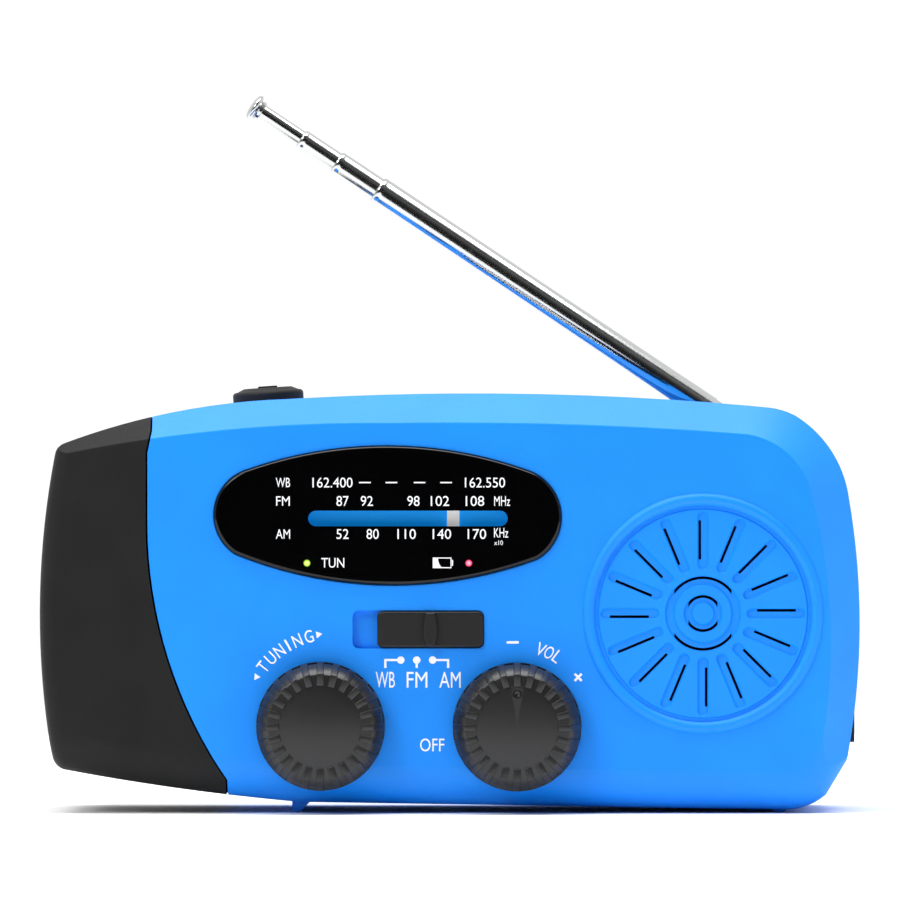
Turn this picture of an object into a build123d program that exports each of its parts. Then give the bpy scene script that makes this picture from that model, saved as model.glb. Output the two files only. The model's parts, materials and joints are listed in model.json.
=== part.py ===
from build123d import *
import math
import os

# Hand-crank emergency radio: AM/FM/weather receiver with a lamp in the left end, a solar cell on top,
# a crank generator on the back and a telescopic aerial. Millimetres, +Z up, the front faces -Y, +X is
# the right-hand end seen from the front. The origin is on the table under the middle of the radio.

# ---- driving dimensions ----------------------------------------------------------------------
LENGTH = 127.0            # overall, lamp end to port end
HEIGHT = 64.95            # table to top of the case
DEPTH = 39.0              # case, front panel to back panel
KNOB_RISE = 6.0           # knobs stand this far in front of the panel
WALL = 2.0                # case wall
BEVEL = 4.6               # 45 degree bevel round the top and right of the front panel
CREASE_ROUND = 0.5        # radius where the panel turns into that bevel
BOTTOM_ROUND = 6.0        # radius along the lower front edge
LEFT_CORNER = 2.4         # radius of the lamp end's upper and lower corners
BACK_ROUND = 1.6          # radius round the back panel
SEAM_GAP = 0.3            # dark seam between lamp end and case
FOOT = 1.6                # height of the moulded feet under the case
SPLIT_BACK = 11.5         # depth of the rear shell
BOARD_T = 1.6             # circuit board thickness

WINDOW_RISE = 0.7         # dial window above the panel
SLOT_W, SLOT_H = 30.8, 2.4
POINTER_W = 1.9

KNOB_D = 19.9
KNOB_RIBS = 24
SHAFT_R = 3.0
RUN_FIT = 0.05            # radial play of a shaft in its bearing
GAP = 0.3                 # play between separate moving mouldings

SPEAKER_R = 18.6          # outside of the raised grille ring
CRANK_R = 24.0            # round well in the back that the crank turns in
CRANK_WELL = 8.0          # depth of that well
MODULE = 0.6              # all gears
TUNING_TEETH, DRIVE_TEETH, PINION_TEETH, LAY_TEETH = 27, 50, 12, 42

AERIAL_D = (4.5, 3.85, 3.2, 2.55)     # outside of the four sections
AERIAL_WALL = 0.25
AERIAL_OUT = (65.7, 7.8, 6.7, 7.0)    # length showing past the pivot, then past each mouth
AERIAL_TILT = 33.7                    # above the horizontal, leaning to the lamp end

# ---- places that several pieces share --------------------------------------------------------
BACK = (DEPTH + KNOB_RISE) / 2
FRONT = BACK - DEPTH
SPLIT = BACK - SPLIT_BACK
END = LENGTH / 2
TUNING = (-20.0, 13.5)                # x, z of the knob axes
VOLUME = (10.35, 13.4)
SPEAKER = (END - 24.4, HEIGHT / 2 - 1.575)
DIAL = (-9.65, HEIGHT - 19.35)               # middle of the pointer slot: x of the window, z of the slot
CRANK = (-9.5, HEIGHT / 2 - 0.975)
LAMP_X = -END + 16.6                      # seam between lamp end and case, above its curve
SEAM_R = 70.5
BAND = (-4.9, 28.45)                  # middle of the band-switch recess
BUTTON = (-END + 35.2, FRONT + 14.5, HEIGHT - 1.1)
PIVOT = (END - 20.4, BACK - 3.2, HEIGHT - 3.95)
WELL_FLOOR = BACK - CRANK_WELL
RABBET_Y = BACK - 6.1                 # step along the upper back edge that the aerial folds into
RABBET_Z = HEIGHT - 6.75
SOLAR = (7.0, FRONT + 15.9, 52.0, 19.0)       # middle x, middle y, length, width
BOARD_Y = SPLIT - 9.8
CARRIAGE_Y = FRONT + 7.3
SCREWS = ((-END + 24.0, HEIGHT - 14.95), (-END + 32.0, 9.0), (END - 9.0, HEIGHT - 12.45), (END - 7.5, 8.2))
BOARD_SCREWS = ((-END + 30.5, 14.0), (-END + 28.5, 40.0), (22.0, HEIGHT - 10.45))
PORTS = (20.0, 33.0)                  # heights of the two sockets on the right end
LAY_ANGLE = math.radians(-20)

drive_r = MODULE * DRIVE_TEETH / 2
pinion_r = MODULE * PINION_TEETH / 2
lay_r = MODULE * LAY_TEETH / 2
tuning_r = MODULE * TUNING_TEETH / 2
LAY = (CRANK[0] + (drive_r + pinion_r) * math.cos(LAY_ANGLE),
       CRANK[1] + (drive_r + pinion_r) * math.sin(LAY_ANGLE))
GENERATOR = (LAY[0] + (lay_r + pinion_r) * math.cos(LAY_ANGLE),
             LAY[1] + (lay_r + pinion_r) * math.sin(LAY_ANGLE))
GENERATOR_R = 8.5
ROTOR_R = 4.5


# ---- shared shapes ---------------------------------------------------------------------------
def block(x0, x1, y0, y1, z0, z1):
    """A box between two corners."""
    return Pos((x0 + x1) / 2, (y0 + y1) / 2, (z0 + z1) / 2) * Box(x1 - x0, y1 - y0, z1 - z0)


def bar(x, z, radius, y0, y1):
    """A round bar along Y."""
    return Pos(x, (y0 + y1) / 2, z) * Rot(90, 0, 0) * Cylinder(radius, y1 - y0)


def slab(face, y0, y1):
    """A flat shape drawn in x and z, given a thickness from y0 back to y1."""
    return extrude(Plane(origin=(0, y1, 0), x_dir=(1, 0, 0), z_dir=(0, -1, 0)) * face, amount=y1 - y0)


def turned(points, x, z):
    """A body of revolution about a Y axis, from (radius, y) points."""
    face = make_face(Polyline(*points, close=True))
    return Pos(x, 0, z) * revolve(face, Axis.Y)


def outline(closed_edges):
    """A flat face from a chain of edges in x, z."""
    return make_face(closed_edges)


def silhouette():
    """The case seen from the front."""
    top_left = (-END + 2.6, HEIGHT - 8.2)
    top_mid = (-END + 38.0, HEIGHT - 0.9)
    top_end = (END - 14.0, HEIGHT - 2.2)
    corner = (END - 10.0, HEIGHT - 3.4)
    shoulder = (END - 1.6, HEIGHT - 16.35)
    right_low = (END - 2.0, FOOT + 6.4)
    chin = (END - 5.2, FOOT + 1.1)
    low_right = (END - 11.5, 0.4)
    low_left = (-END + 40.0, FOOT)
    left_low = (-END + 2.2, FOOT + 5.3)
    return outline([
        ThreePointArc(top_left, (-END + 17.0, HEIGHT - 3.7), top_mid),
        ThreePointArc(top_mid, (END - 57.5, HEIGHT), top_end),
        ThreePointArc(top_end, (END - 11.95, HEIGHT - 2.62), corner),
        ThreePointArc(corner, (END - 4.34, HEIGHT - 8.9), shoulder),
        ThreePointArc(shoulder, (END, HEIGHT - 35.0), right_low),
        Line(right_low, chin),
        ThreePointArc(chin, (END - 7.6, 1.2), low_right),
        Line(low_right, low_left),
        ThreePointArc(low_left, (-END + 20.0, FOOT + 2.3), left_low),
        ThreePointArc(left_low, (-END, HEIGHT / 2 - 1.0), top_left)])


def front_crease():
    """The flat front panel's edge along the top and right, run out well past the case elsewhere."""
    top_left = (-END + 2.0, HEIGHT - 9.8)
    top_mid = (-END + 54.2, HEIGHT - 4.65)
    top_right = (END - 17.8, HEIGHT - 6.35)
    shoulder = (END - 7.7, HEIGHT - 15.75)
    right_low = (END - 5.9, 12.0)
    return outline([
        Line((-END - 20, HEIGHT - 13.0), top_left),
        ThreePointArc(top_left, (-END + 21.8, HEIGHT - 6.45), top_mid),
        ThreePointArc(top_mid, (END - 43.4, HEIGHT - 4.9), top_right),
        ThreePointArc(top_right, (END - 10.9, HEIGHT - 9.75), shoulder),
        ThreePointArc(shoulder, (END - 4.8, HEIGHT - 34.0), right_low),
        Polyline(right_low, (END - 7.5, -20), (-END - 20, -20), (-END - 20, HEIGHT - 13.0))])


def case_form(inset):
    """The whole case as one solid, drawn in by a wall thickness on every side."""
    shape = silhouette()
    if inset:
        shape = offset(shape, -inset)
    form = slab(shape, FRONT + inset, BACK - inset)
    low = [e for e in form.edges().filter_by(Plane.XZ)
           if e.center().Z < 10 + inset and abs(e.center().Y - FRONT - inset) < 0.01
           and e.length > 4]
    form = fillet(low, BOTTOM_ROUND - inset)
    left = [e for e in form.edges().filter_by(Axis.Y) if e.center().X < -END + 6]
    form = fillet(left, LEFT_CORNER)
    crease = front_crease()
    if inset:
        crease = offset(crease, -inset * (math.sqrt(2) - 1))
    reach = BEVEL + 3.0
    sloped = extrude(Plane(origin=(0, FRONT + inset, 0), x_dir=(1, 0, 0), z_dir=(0, -1, 0)) * crease,
                     amount=-reach, taper=-45)
    behind = block(-END - 40, END + 40, FRONT + reach, BACK + 5, -40, HEIGHT + 40)
    form = form & (sloped + behind)
    if not inset:
        # the crease is rounded with two facets between the panel and the bevel
        deep = 0.3 * CREASE_ROUND
        for slope in (15, 30):
            back_off = CREASE_ROUND * (math.tan(math.radians(22.5)) - math.tan(math.radians(slope / 2)))
            facet = extrude(Plane(origin=(0, FRONT, 0), x_dir=(1, 0, 0), z_dir=(0, -1, 0))
                            * offset(crease, -back_off), amount=-deep, taper=slope - 90)
            form = form & (facet + block(-END - 40, END + 40, FRONT + deep, BACK + 5, -40, HEIGHT + 40))
        rim = extrude(Plane(origin=(0, BACK, 0), x_dir=(1, 0, 0), z_dir=(0, -1, 0))
                      * offset(silhouette(), -BACK_ROUND), amount=BACK_ROUND + 1, taper=-45)
        form = form & (rim + block(-END - 40, END + 40, FRONT - 5, BACK - BACK_ROUND - 1, -40, HEIGHT + 40))
    step = block(-END + 14.0 - inset, END + 10, RABBET_Y - inset, BACK + 5, RABBET_Z - inset, HEIGHT + 10)
    return form - step


def lamp_side(shift):
    """Everything on the lamp's side of the seam, with the seam moved along X."""
    x, bend, low = LAMP_X + shift, HEIGHT - 19.95, 5.2

    def seam(z):
        return (x + SEAM_R - math.sqrt(SEAM_R ** 2 - (bend - z) ** 2), z)

    face = outline([
        Polyline((-END - 30, -30), (-END - 30, HEIGHT + 30), (x + 0.7, HEIGHT + 30), (x + 0.7, HEIGHT - 5.8),
                 (x, HEIGHT - 9.2), (x, bend)),
        ThreePointArc((x, bend), seam((bend + low) / 2), seam(low)),
        Polyline(seam(low), (seam(low)[0] + 0.6, -30), (-END - 30, -30))])
    return slab(face, FRONT - 10, BACK + 10)


case = case_form(0)
cavity = case_form(WALL)


# ---- dial window -----------------------------------------------------------------------------
def window_face(grow):
    """Four shallow arcs with blended corners."""
    x, z = DIAL[0], DIAL[1] + 0.4
    face = outline([
        ThreePointArc((x - 21.4, z + 7.2), (x, z + 10.8), (x + 22.2, z + 6.8)),
        ThreePointArc((x + 22.2, z + 6.8), (x + 26.85, z - 0.1), (x + 23.2, z - 6.7)),
        ThreePointArc((x + 23.2, z - 6.7), (x, z - 10.7), (x - 23.6, z - 5.9)),
        ThreePointArc((x - 23.6, z - 5.9), (x - 26.85, z + 0.2), (x - 21.4, z + 7.2))])
    face = fillet(face.vertices(), 4.0)
    return offset(face, grow) if grow else face


def slot_face(length, height):
    return Pos(DIAL[0] + 3.15, DIAL[1]) * SlotOverall(length, height)


WINDOW_BACK = FRONT + 1.2
LEDS = ((DIAL[0] - 12.45, DIAL[1] - 6.9), (DIAL[0] + 12.55, DIAL[1] - 6.9))


def dial_window():
    plate = slab(window_face(0), FRONT - WINDOW_RISE, WINDOW_BACK)
    front_edges = [e for e in plate.edges() if abs(e.center().Y - FRONT + WINDOW_RISE) < 0.01]
    plate = fillet(front_edges, 0.55)
    plate -= slab(slot_face(SLOT_W, SLOT_H), FRONT - 5, FRONT + 5)
    for x, z in LEDS:
        plate -= bar(x, z, 0.55, FRONT - 5, FRONT + 5)
    return plate


def dial_backing():
    """Blue strip behind the slot, on two feet glued inside the front shell."""
    x, z = DIAL[0] + 3.15, DIAL[1]
    half, inside = SLOT_W / 2 + 1.4, FRONT + WALL
    strip = block(x - half, x + half, inside + 1.4, inside + 2.1, z - 2, z + 2)
    for side in (-1, 1):
        foot = x + side * (half + 1.2)
        strip += block(foot - 1.4, foot + 1.4, inside, inside + 2.1, z - 2, z + 2)
    return strip


def indicator(x, z):
    """Small lamp on the switch board, seen through a hole in the window."""
    return bar(x, z, 0.5, FRONT - WINDOW_RISE + 0.1, FRONT + WALL) + bar(x, z, 1.5, FRONT + WALL, SWITCH_BOARD_Y)


# ---- front shell -----------------------------------------------------------------------------
SWITCH_BOARD_Y = FRONT + 6.0
RECESS = (20.35, 5.9, 1.4)            # band-switch recess: length, height, depth
SLIDER_W = 16.4
SLIDE_GAP = 0.12                       # between the slider and each end of its recess
GRILLE_ARMS = 16
SLIT = 0.42
RING_RISE = 0.6                        # the ring round the grille, above the panel
GROOVE = 0.4                           # depth of the grille's grooves
PORT_PAD_X = END - 3.9
FLAP = (10.5, 38.0, BOARD_Y, SPLIT - 0.8)  # z from, z to, y from, y to
FLAP_OUT = END - 0.3
FLAP_T = 1.3


def seat_posts(places, radius, hole, top):
    """Screw posts on the inside of the front panel."""
    posts = [bar(x, z, radius, FRONT + WALL - 0.5, top) - bar(x, z, hole, top - 9, top + 1)
             for x, z in places]
    return posts


def feet(y0, y1):
    """Two ribs that the radio stands on."""
    x = -END + 39.0
    left = outline(Polyline((x, FOOT + 1.6), (x, 0.4), (x + 0.4, 0), (x + 1.1, 0), (x + 1.5, 0.3),
                            (x + 2.8, FOOT), (x + 2.8, FOOT + 1.6), close=True))
    x = END - 13.5
    right = outline(Polyline((x, FOOT), (x + 0.1, 0.3), (x + 0.5, 0), (x + 1.8, 0), (x + 2.2, 0.3),
                             (x + 2.3, FOOT), close=True))
    return slab(left, y0, y1) + slab(right, y0, y1)


def grille(shell):
    """Raised ring, shallow grooves and the thin slits that let the sound out."""
    x, z = SPEAKER
    outer, inner = SPEAKER_R, SPEAKER_R - 1.85
    bead = outline([ThreePointArc((inner, FRONT), ((inner + outer) / 2, FRONT - RING_RISE), (outer, FRONT)),
                    Polyline((outer, FRONT), (outer, FRONT + 0.5), (inner, FRONT + 0.5), (inner, FRONT))])
    shell += Pos(x, 0, z) * revolve(bead, Axis.Y)
    shell -= turned([(inner - 0.75, FRONT - 0.1), (inner, FRONT - 0.1), (inner, FRONT + 0.25),
                     (inner - 0.5, FRONT + 0.25)], x, z)
    start, end = 7.6, SPEAKER_R - 3.6
    middle, length = (start + end) / 2, end - start
    # each groove is a shallow slot with sloping sides
    groove = loft([Plane(origin=(middle, y, 0), x_dir=(1, 0, 0), z_dir=(0, -1, 0)) * SlotOverall(length + w, w)
                   for y, w in ((FRONT + GROOVE, 1.2), (FRONT - 0.2, 2.1))])
    slit = block(start + 0.75, end - 0.6, FRONT - 1, FRONT + WALL + 1, 0.28, 0.28 + SLIT)
    for k in range(GRILLE_ARMS):
        turn = Pos(x, 0, z) * Rot(0, -360 / GRILLE_ARMS * k, 0)
        shell -= turn * groove
        shell -= turn * slit
    for near, far in ((4.35, 5.9), (1.6, 3.0)):
        shell -= turned([(near - 0.15, FRONT - 0.2), (far + 0.15, FRONT - 0.2), (far - 0.25, FRONT + GROOVE),
                         (near + 0.25, FRONT + GROOVE)], x, z)
        edge = far - 0.15
        ring = turned([(edge - SLIT, FRONT - 1), (edge, FRONT - 1), (edge, FRONT + WALL + 1),
                       (edge - SLIT, FRONT + WALL + 1)], x, z)
        gate = block(x - 0.75 * far, x + 0.75 * far, FRONT - 2, FRONT + WALL + 2, z - 10, z + 10)
        shell -= ring & gate
    return shell


def front_shell():
    shell = case - lamp_side(SEAM_GAP / 2) - (cavity - lamp_side(1.2))
    shell = shell & block(-END - 5, END + 5, FRONT - 5, SPLIT, -5, HEIGHT + 5)
    # thicker stretches behind the solar cell and the sockets
    sx, sy, sl, sw = SOLAR
    shell += case & block(sx - sl / 2 - 2, sx + sl / 2 + 2, sy - sw / 2 - 1.5, SPLIT, HEIGHT - 4.2, HEIGHT - 1)
    shell += case & block(PORT_PAD_X, END + 1, FLAP[2] - 2, SPLIT, FLAP[0] - 1.5, FLAP[1] + 2)
    shell += feet(FRONT + 7.0, SPLIT - 0.2)
    for post in seat_posts(SCREWS, 2.6, 1.02, SPLIT) + seat_posts(BOARD_SCREWS, 2.2, 0.82, BOARD_Y):
        shell += post & case
    for x, z in ((LEDS[0][0] - 2.4, BAND[1] + 3.05), (LEDS[1][0] + 4.1, LEDS[1][1] - 2.2)):
        shell += bar(x, z, 1.6, FRONT + WALL - 0.5, SWITCH_BOARD_Y)
    shell = grille(shell)
    # dial window pocket, pointer opening, indicator holes
    shell -= slab(window_face(0.12), FRONT - 5, WINDOW_BACK)
    shell -= slab(slot_face(SLOT_W + 2, SLOT_H + 1.8), FRONT - 5, FRONT + WALL + 1)
    for x, z in LEDS:
        shell -= bar(x, z, 0.6, FRONT, FRONT + WALL + 1)
    # band-switch recess with the slot for the slider's stem
    x, z = BAND
    length, height, depth = RECESS
    recess = block(x - length / 2, x + length / 2, FRONT - 1, FRONT + depth, z - height / 2, z + height / 2)
    shell -= fillet(recess.edges().filter_by(Axis.Y), 1.0)
    shell -= block(x - 4.5, x + 3.3, FRONT, FRONT + WALL + 1, z - 1.4, z + 1.4)
    for x, z in (TUNING, VOLUME):
        shell -= bar(x, z, SHAFT_R + GAP, FRONT - 1, FRONT + WALL + 1)
    # lamp button hole, solar cell pocket
    shell -= button_place() * Cylinder(5.8, 12)
    shell -= block(sx - sl / 2, sx + sl / 2, sy - sw / 2, sy + sw / 2, HEIGHT - 2.4, HEIGHT + 5)
    # sockets and the shallow seat of their cover
    shell -= block(FLAP_OUT - FLAP_T - 0.1, END + 2, FLAP[2] - 0.25, FLAP[3] + 0.6, FLAP[0] - 0.25,
                   FLAP[1] + 0.25)
    shell -= block(PORT_PAD_X - 2, END + 2, BOARD_Y + 1.5, BOARD_Y + 7.7, PORTS[0] - 7.0, PORTS[0] + 7.0)
    shell -= block(PORT_PAD_X - 2, END + 2, BOARD_Y + 1.5, BOARD_Y + 5.1, PORTS[1] - 4.2, PORTS[1] + 4.2)
    return shell


# ---- rear shell ------------------------------------------------------------------------------
GEARBOX_POSTS = ((CRANK[0], CRANK[1] - 19.0), (CRANK[0] + 21.5, CRANK[1] + 10.5),
                 (CRANK[0] + 33.5, CRANK[1] + 1.5))
PLATE_Y = WELL_FLOOR - 10.9            # gearbox plate, 1 mm thick
CRANK_SHAFT_R = 2.0


def rear_shell():
    shell = case - lamp_side(SEAM_GAP / 2) - (cavity - lamp_side(1.2))
    shell = shell & block(-END - 5, END + 5, SPLIT, BACK + 5, -5, HEIGHT + 5)
    x, z = CRANK
    shell += bar(x, z, CRANK_R + WALL, WELL_FLOOR - WALL, BACK - WALL + 0.5)
    shell -= bar(x, z, CRANK_R, WELL_FLOOR, BACK + 1)
    shell += bar(x, z, 4.5, WELL_FLOOR - 4.0, WELL_FLOOR - WALL + 0.5)
    shell -= bar(x, z, CRANK_SHAFT_R + RUN_FIT, WELL_FLOOR - 6, WELL_FLOOR + 1)
    for px, pz in GEARBOX_POSTS:
        inside = math.hypot(px - x, pz - z) < CRANK_R
        shell += bar(px, pz, 1.8, PLATE_Y + 1.0, WELL_FLOOR - WALL + 0.5 if inside else BACK - WALL + 0.5)
        shell += bar(px, pz, 1.0, PLATE_Y - 0.4, PLATE_Y + 1.2)
    for px, pz in SCREWS:
        post = bar(px, pz, 2.9, SPLIT, BACK - WALL + 0.5) & case
        shell += post
        shell -= bar(px, pz, 2.6, SPLIT + 4, BACK + 1)
        shell -= bar(px, pz, 1.2, SPLIT - 1, SPLIT + 5)
    # socket for the aerial's swivel, under the step it folds into
    px, py, pz = PIVOT
    shell += Pos(px, py, RABBET_Z - 3.0) * Cylinder(4.4, 6.0) & case
    shell -= Pos(px, py, RABBET_Z - 2.0) * Cylinder(SWIVEL_R + RUN_FIT, 4.2)
    shell -= block(px - 8, px + 8, RABBET_Y, BACK + 5, RABBET_Z, HEIGHT + 5)
    shell += feet(SPLIT + 0.3, BACK - 2.5)
    return shell


# ---- lamp end --------------------------------------------------------------------------------
LENS = (FRONT + 4.7, BACK - 4.7, 12.2, HEIGHT - 13.15)  # y from, y to, z from, z to
LENS_BACK = -END + 1.9
LAMP_MID_Y, LAMP_MID_Z = (LENS[0] + LENS[1]) / 2, (LENS[2] + LENS[3]) / 2
LAMP_CUPS = (LAMP_MID_Z - 12.0, LAMP_MID_Z, LAMP_MID_Z + 12.0)
REFLECTOR = (-END + 2.1, -END + 8.5)
LAMP_BOARD = (-END + 8.7, -END + 10.3)


def along_x(y, z, radius, x0, x1):
    return Pos((x0 + x1) / 2, y, z) * Rot(0, 90, 0) * Cylinder(radius, x1 - x0)


def lamp_housing():
    cap = case & lamp_side(-SEAM_GAP / 2)
    cap -= cavity
    for y0, y1 in ((FRONT + WALL - 0.5, LENS[0] + 0.8), (LENS[1] - 0.8, BACK - WALL + 0.5)):
        cap += block(REFLECTOR[0], LAMP_BOARD[1], y0, y1, LAMP_MID_Z - 3, LAMP_MID_Z + 3)
    y0, y1, z0, z1 = LENS
    return cap - block(-END - 3, REFLECTOR[0] + 2, y0 - 0.1, y1 + 0.1, z0 - 0.1, z1 + 0.1)


def lamp_lens():
    y0, y1, z0, z1 = LENS
    return case & block(-END - 3, LENS_BACK, y0, y1, z0, z1)


def lamp_reflector():
    y0, y1, z0, z1 = LENS
    body = block(*REFLECTOR, y0 + 0.8, y1 - 0.8, z0 + 0.8, z1 - 0.8)
    for z in LAMP_CUPS:
        depth = REFLECTOR[1] - REFLECTOR[0]
        cup = Pos(sum(REFLECTOR) / 2, LAMP_MID_Y, z) * Rot(0, 90, 0) * Cone(5.6, 2.1, depth)
        body -= cup
    return body & cavity


def lamp_board():
    y0, y1, z0, z1 = LENS
    return block(*LAMP_BOARD, y0 + 0.8, y1 - 0.8, z0 + 0.8, z1 - 0.8)


def lamp_leds():
    return [along_x(LAMP_MID_Y, z, 1.75, LAMP_BOARD[0] - 3.0, LAMP_BOARD[0])
            + Pos(LAMP_BOARD[0] - 3.0, LAMP_MID_Y, z) * Sphere(1.75) for z in LAMP_CUPS]


# ---- lamp button and its switch --------------------------------------------------------------
BUTTON_TILT = -3.8
BUTTON_R = 5.5
BUTTON_TRAVEL = 1.0


def button_place():
    return Pos(*BUTTON) * Rot(0, BUTTON_TILT, 0)


def lamp_button():
    """Rubber cap: a low dome with a raised middle, a skirt and a stem down to the switch."""
    cap = Pos(0, 0, -0.525) * Cylinder(BUTTON_R, 4.15)
    cap = fillet(cap.edges().group_by(Axis.Z)[-1], 0.6)
    cap += Pos(0, 0, 1.8) * Cone(4.8, 3.7, 0.5)
    cap += Pos(0, 0, 2.1) * Cylinder(1.5, 0.4)
    cap += Pos(0, 0, -2.8) * Cylinder(BUTTON_R + 1.0, 0.8)
    cap += Pos(0, 0, -3.9) * Cylinder(1.5, 2.0)
    return button_place() * cap


def lamp_switch():
    place = button_place()
    tip = place.position - Vector(0, 0, 5.8)
    body = block(tip.X - 3, tip.X + 3, BUTTON[1] - 3, BOARD_Y, tip.Z - 4.8, tip.Z - 1.2)
    return body + Pos(tip.X, BUTTON[1], tip.Z - 0.8) * Cylinder(1.6, 1.0)


# ---- knobs, shafts, gears --------------------------------------------------------------------
def knob(x, z, dimple):
    """Cone with moulded ribs round a flat disc, and a bore for the shaft."""
    base, top = FRONT - 0.4, FRONT - KNOB_RISE
    rim, edge = KNOB_D / 2, top + 2.2
    rib_ring = turned([(0, base), (rim, base), (rim, base - 0.7), (rim - 0.06, base - 0.7), (rim - 0.06, edge),
                       (rim - 1.72, top), (0, top)], x, z)
    core = turned([(0, base), (rim, base), (rim, base - 0.7), (rim - 0.3, base - 0.7), (rim - 0.35, edge),
                   (rim - 1.95, top + 0.25), (0, top + 0.25)], x, z)
    face_r = KNOB_D / 2 - 3.55
    ribs = None
    for k in range(KNOB_RIBS):
        rib = Pos(x, 0, z) * Rot(0, 360 / KNOB_RIBS * k, 0) * block(face_r - 0.05, rim + 1, top - 1, base,
                                                                     -0.55, 0.55)
        ribs = rib if ribs is None else ribs + rib
    body = core + (rib_ring & ribs)
    if dimple:
        body -= Pos(x, top + 0.25, z + 5.2) * Sphere(0.65)
    return body - bar(x, z, SHAFT_R + 0.02, top + 1.6, base + 1)


def shaft(x, z, end):
    return bar(x, z, SHAFT_R, FRONT - KNOB_RISE + 1.6, end)


def gear(teeth, x, z, y0, y1, bore, phase):
    """Spur gear with straight-sided teeth, thinned so that a pair runs freely."""
    radius, pitch = MODULE * teeth / 2, 360 / teeth
    root, tip = radius - 1.2 * MODULE, radius + 0.65 * MODULE
    points = []
    for k in range(teeth):
        middle = phase + k * pitch
        for r, part in ((root, -0.27), (tip, -0.12), (tip, 0.12), (root, 0.27)):
            angle = math.radians(middle + part * pitch)
            points.append((x + r * math.cos(angle), z + r * math.sin(angle)))
    face = outline(Polyline(*points, close=True))
    return slab(face, y0, y1) - bar(x, z, bore, y0 - 1, y1 + 1)


GEAR_T = 1.4
POT_Y = BOARD_Y - 7.0                  # front of the tuning capacitor and the volume control


def tuning_gear():
    return gear(TUNING_TEETH, *TUNING, CARRIAGE_Y, CARRIAGE_Y + GEAR_T, SHAFT_R, 90)


POINTER_X = 0.5
POINTER_RANGE = (-17.2, 3.4)


def dial_carriage():
    """Rack that the tuning gear drives, an arm up behind the dial and the pointer over it."""
    y0, y1 = CARRIAGE_Y, CARRIAGE_Y + GEAR_T
    pitch_z = TUNING[1] + tuning_r
    left, right = TUNING[0] - POINTER_RANGE[1] - 0.3, TUNING[0] - POINTER_RANGE[0] + 0.6
    root = pitch_z + 1.2 * MODULE
    pitch = math.pi * MODULE
    carriage = block(left, right + 2, y0, y1, root, root + 2.2)
    count = int((right - left) / pitch) + 2
    for k in range(-2, count):
        x = TUNING[0] + (k + 0.5) * pitch
        if left + 0.5 < x < right + 1.5:
            tooth = outline(Polyline((x - 0.27 * pitch, root + 0.2), (x - 0.27 * pitch, root),
                                     (x - 0.12 * pitch, pitch_z - 0.65 * MODULE),
                                     (x + 0.12 * pitch, pitch_z - 0.65 * MODULE),
                                     (x + 0.27 * pitch, root), (x + 0.27 * pitch, root + 0.2), close=True))
            carriage += slab(tooth, y0, y1)
    top = DIAL[1] + 2.9
    carriage += block(right - 1.5, right + 2, y0, y1, root, top + 2)
    carriage += block(right - 1.5, POINTER_X + POINTER_W / 2, y0, y1, top, top + 2)
    finger_y = FRONT + WALL + 0.3
    carriage += block(POINTER_X - POINTER_W / 2, POINTER_X + POINTER_W / 2, finger_y, y1, top, top + 1.2)
    carriage += block(POINTER_X - POINTER_W / 2, POINTER_X + POINTER_W / 2, finger_y, finger_y + 0.8,
                      DIAL[1] - 1.7, top + 1.2)
    return carriage


def control(x, z):
    """Rotary control on the circuit board, with a bearing for its shaft."""
    body = block(x - 8.5, x + 8.5, POT_Y, BOARD_Y, z - 8.0, z + 8.5)
    return body - bar(x, z, SHAFT_R + RUN_FIT, POT_Y - 1, POT_Y + 5.2)


# ---- band switch -----------------------------------------------------------------------------
def band_slider():
    x0 = BAND[0] + RECESS[0] / 2 - SLIDE_GAP - SLIDER_W
    x1, z, ridge = x0 + SLIDER_W, BAND[1], x0 + SLIDER_W / 2
    back = FRONT + RECESS[2] - 0.1
    body = block(x0, x1, FRONT - 0.6, back, z - 2.78, z + 2.78)
    body = fillet(body.edges().filter_by(Axis.Y), 0.8)
    body = fillet(body.faces().sort_by(Axis.Y)[0].edges(), 0.35)
    ends, middle, half = 0.67, 1.1, 2.6
    barrel = outline([ThreePointArc((ridge - ends, z + half), (ridge - middle, z), (ridge - ends, z - half)),
                      Line((ridge - ends, z - half), (ridge + ends, z - half)),
                      ThreePointArc((ridge + ends, z - half), (ridge + middle, z), (ridge + ends, z + half)),
                      Line((ridge + ends, z + half), (ridge - ends, z + half))])
    barrel = slab(barrel, FRONT - 1.7, FRONT)
    body += fillet(barrel.faces().sort_by(Axis.Y)[0].edges(), 0.3)
    return body + block(x1 - 9.95, x1 - 7.05, back - 0.2, SWITCH_BOARD_Y - 2.2, z - 1.1, z + 1.1)


def band_switch():
    x, z = BAND
    body = block(x - 9, x + 8, FRONT + WALL + 0.6, SWITCH_BOARD_Y, z - 3.5, z + 3.5)
    return body - block(x - 4.6, x + 3.4, FRONT + WALL, SWITCH_BOARD_Y - 1.6, z - 1.5, z + 1.5)


def switch_board():
    return block(LEDS[0][0] - 5.4, LEDS[1][0] + 6.6, SWITCH_BOARD_Y, SWITCH_BOARD_Y + 0.8, BAND[1] - 3.85,
                 LEDS[0][1] + 2.3)


# ---- speaker ---------------------------------------------------------------------------------
def speaker_frame():
    x, z = SPEAKER
    y = FRONT + WALL
    rim = SPEAKER_R - 1.0
    return turned([(rim, y), (rim, y + 1.6), (rim - 2.0, y + 1.9), (9.0, y + 7.0), (9.0, y + 8.0),
                   (7.6, y + 8.0), (7.6, y + 6.6), (rim - 2.8, y + 1.0), (rim - 2.2, y)], x, z)


def speaker_magnet():
    x, z = SPEAKER
    y = FRONT + WALL
    return bar(x, z, 9.5, y + 8.0, y + 11.5) + bar(x, z, 2.6, y + 5.6, y + 8.2)


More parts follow.
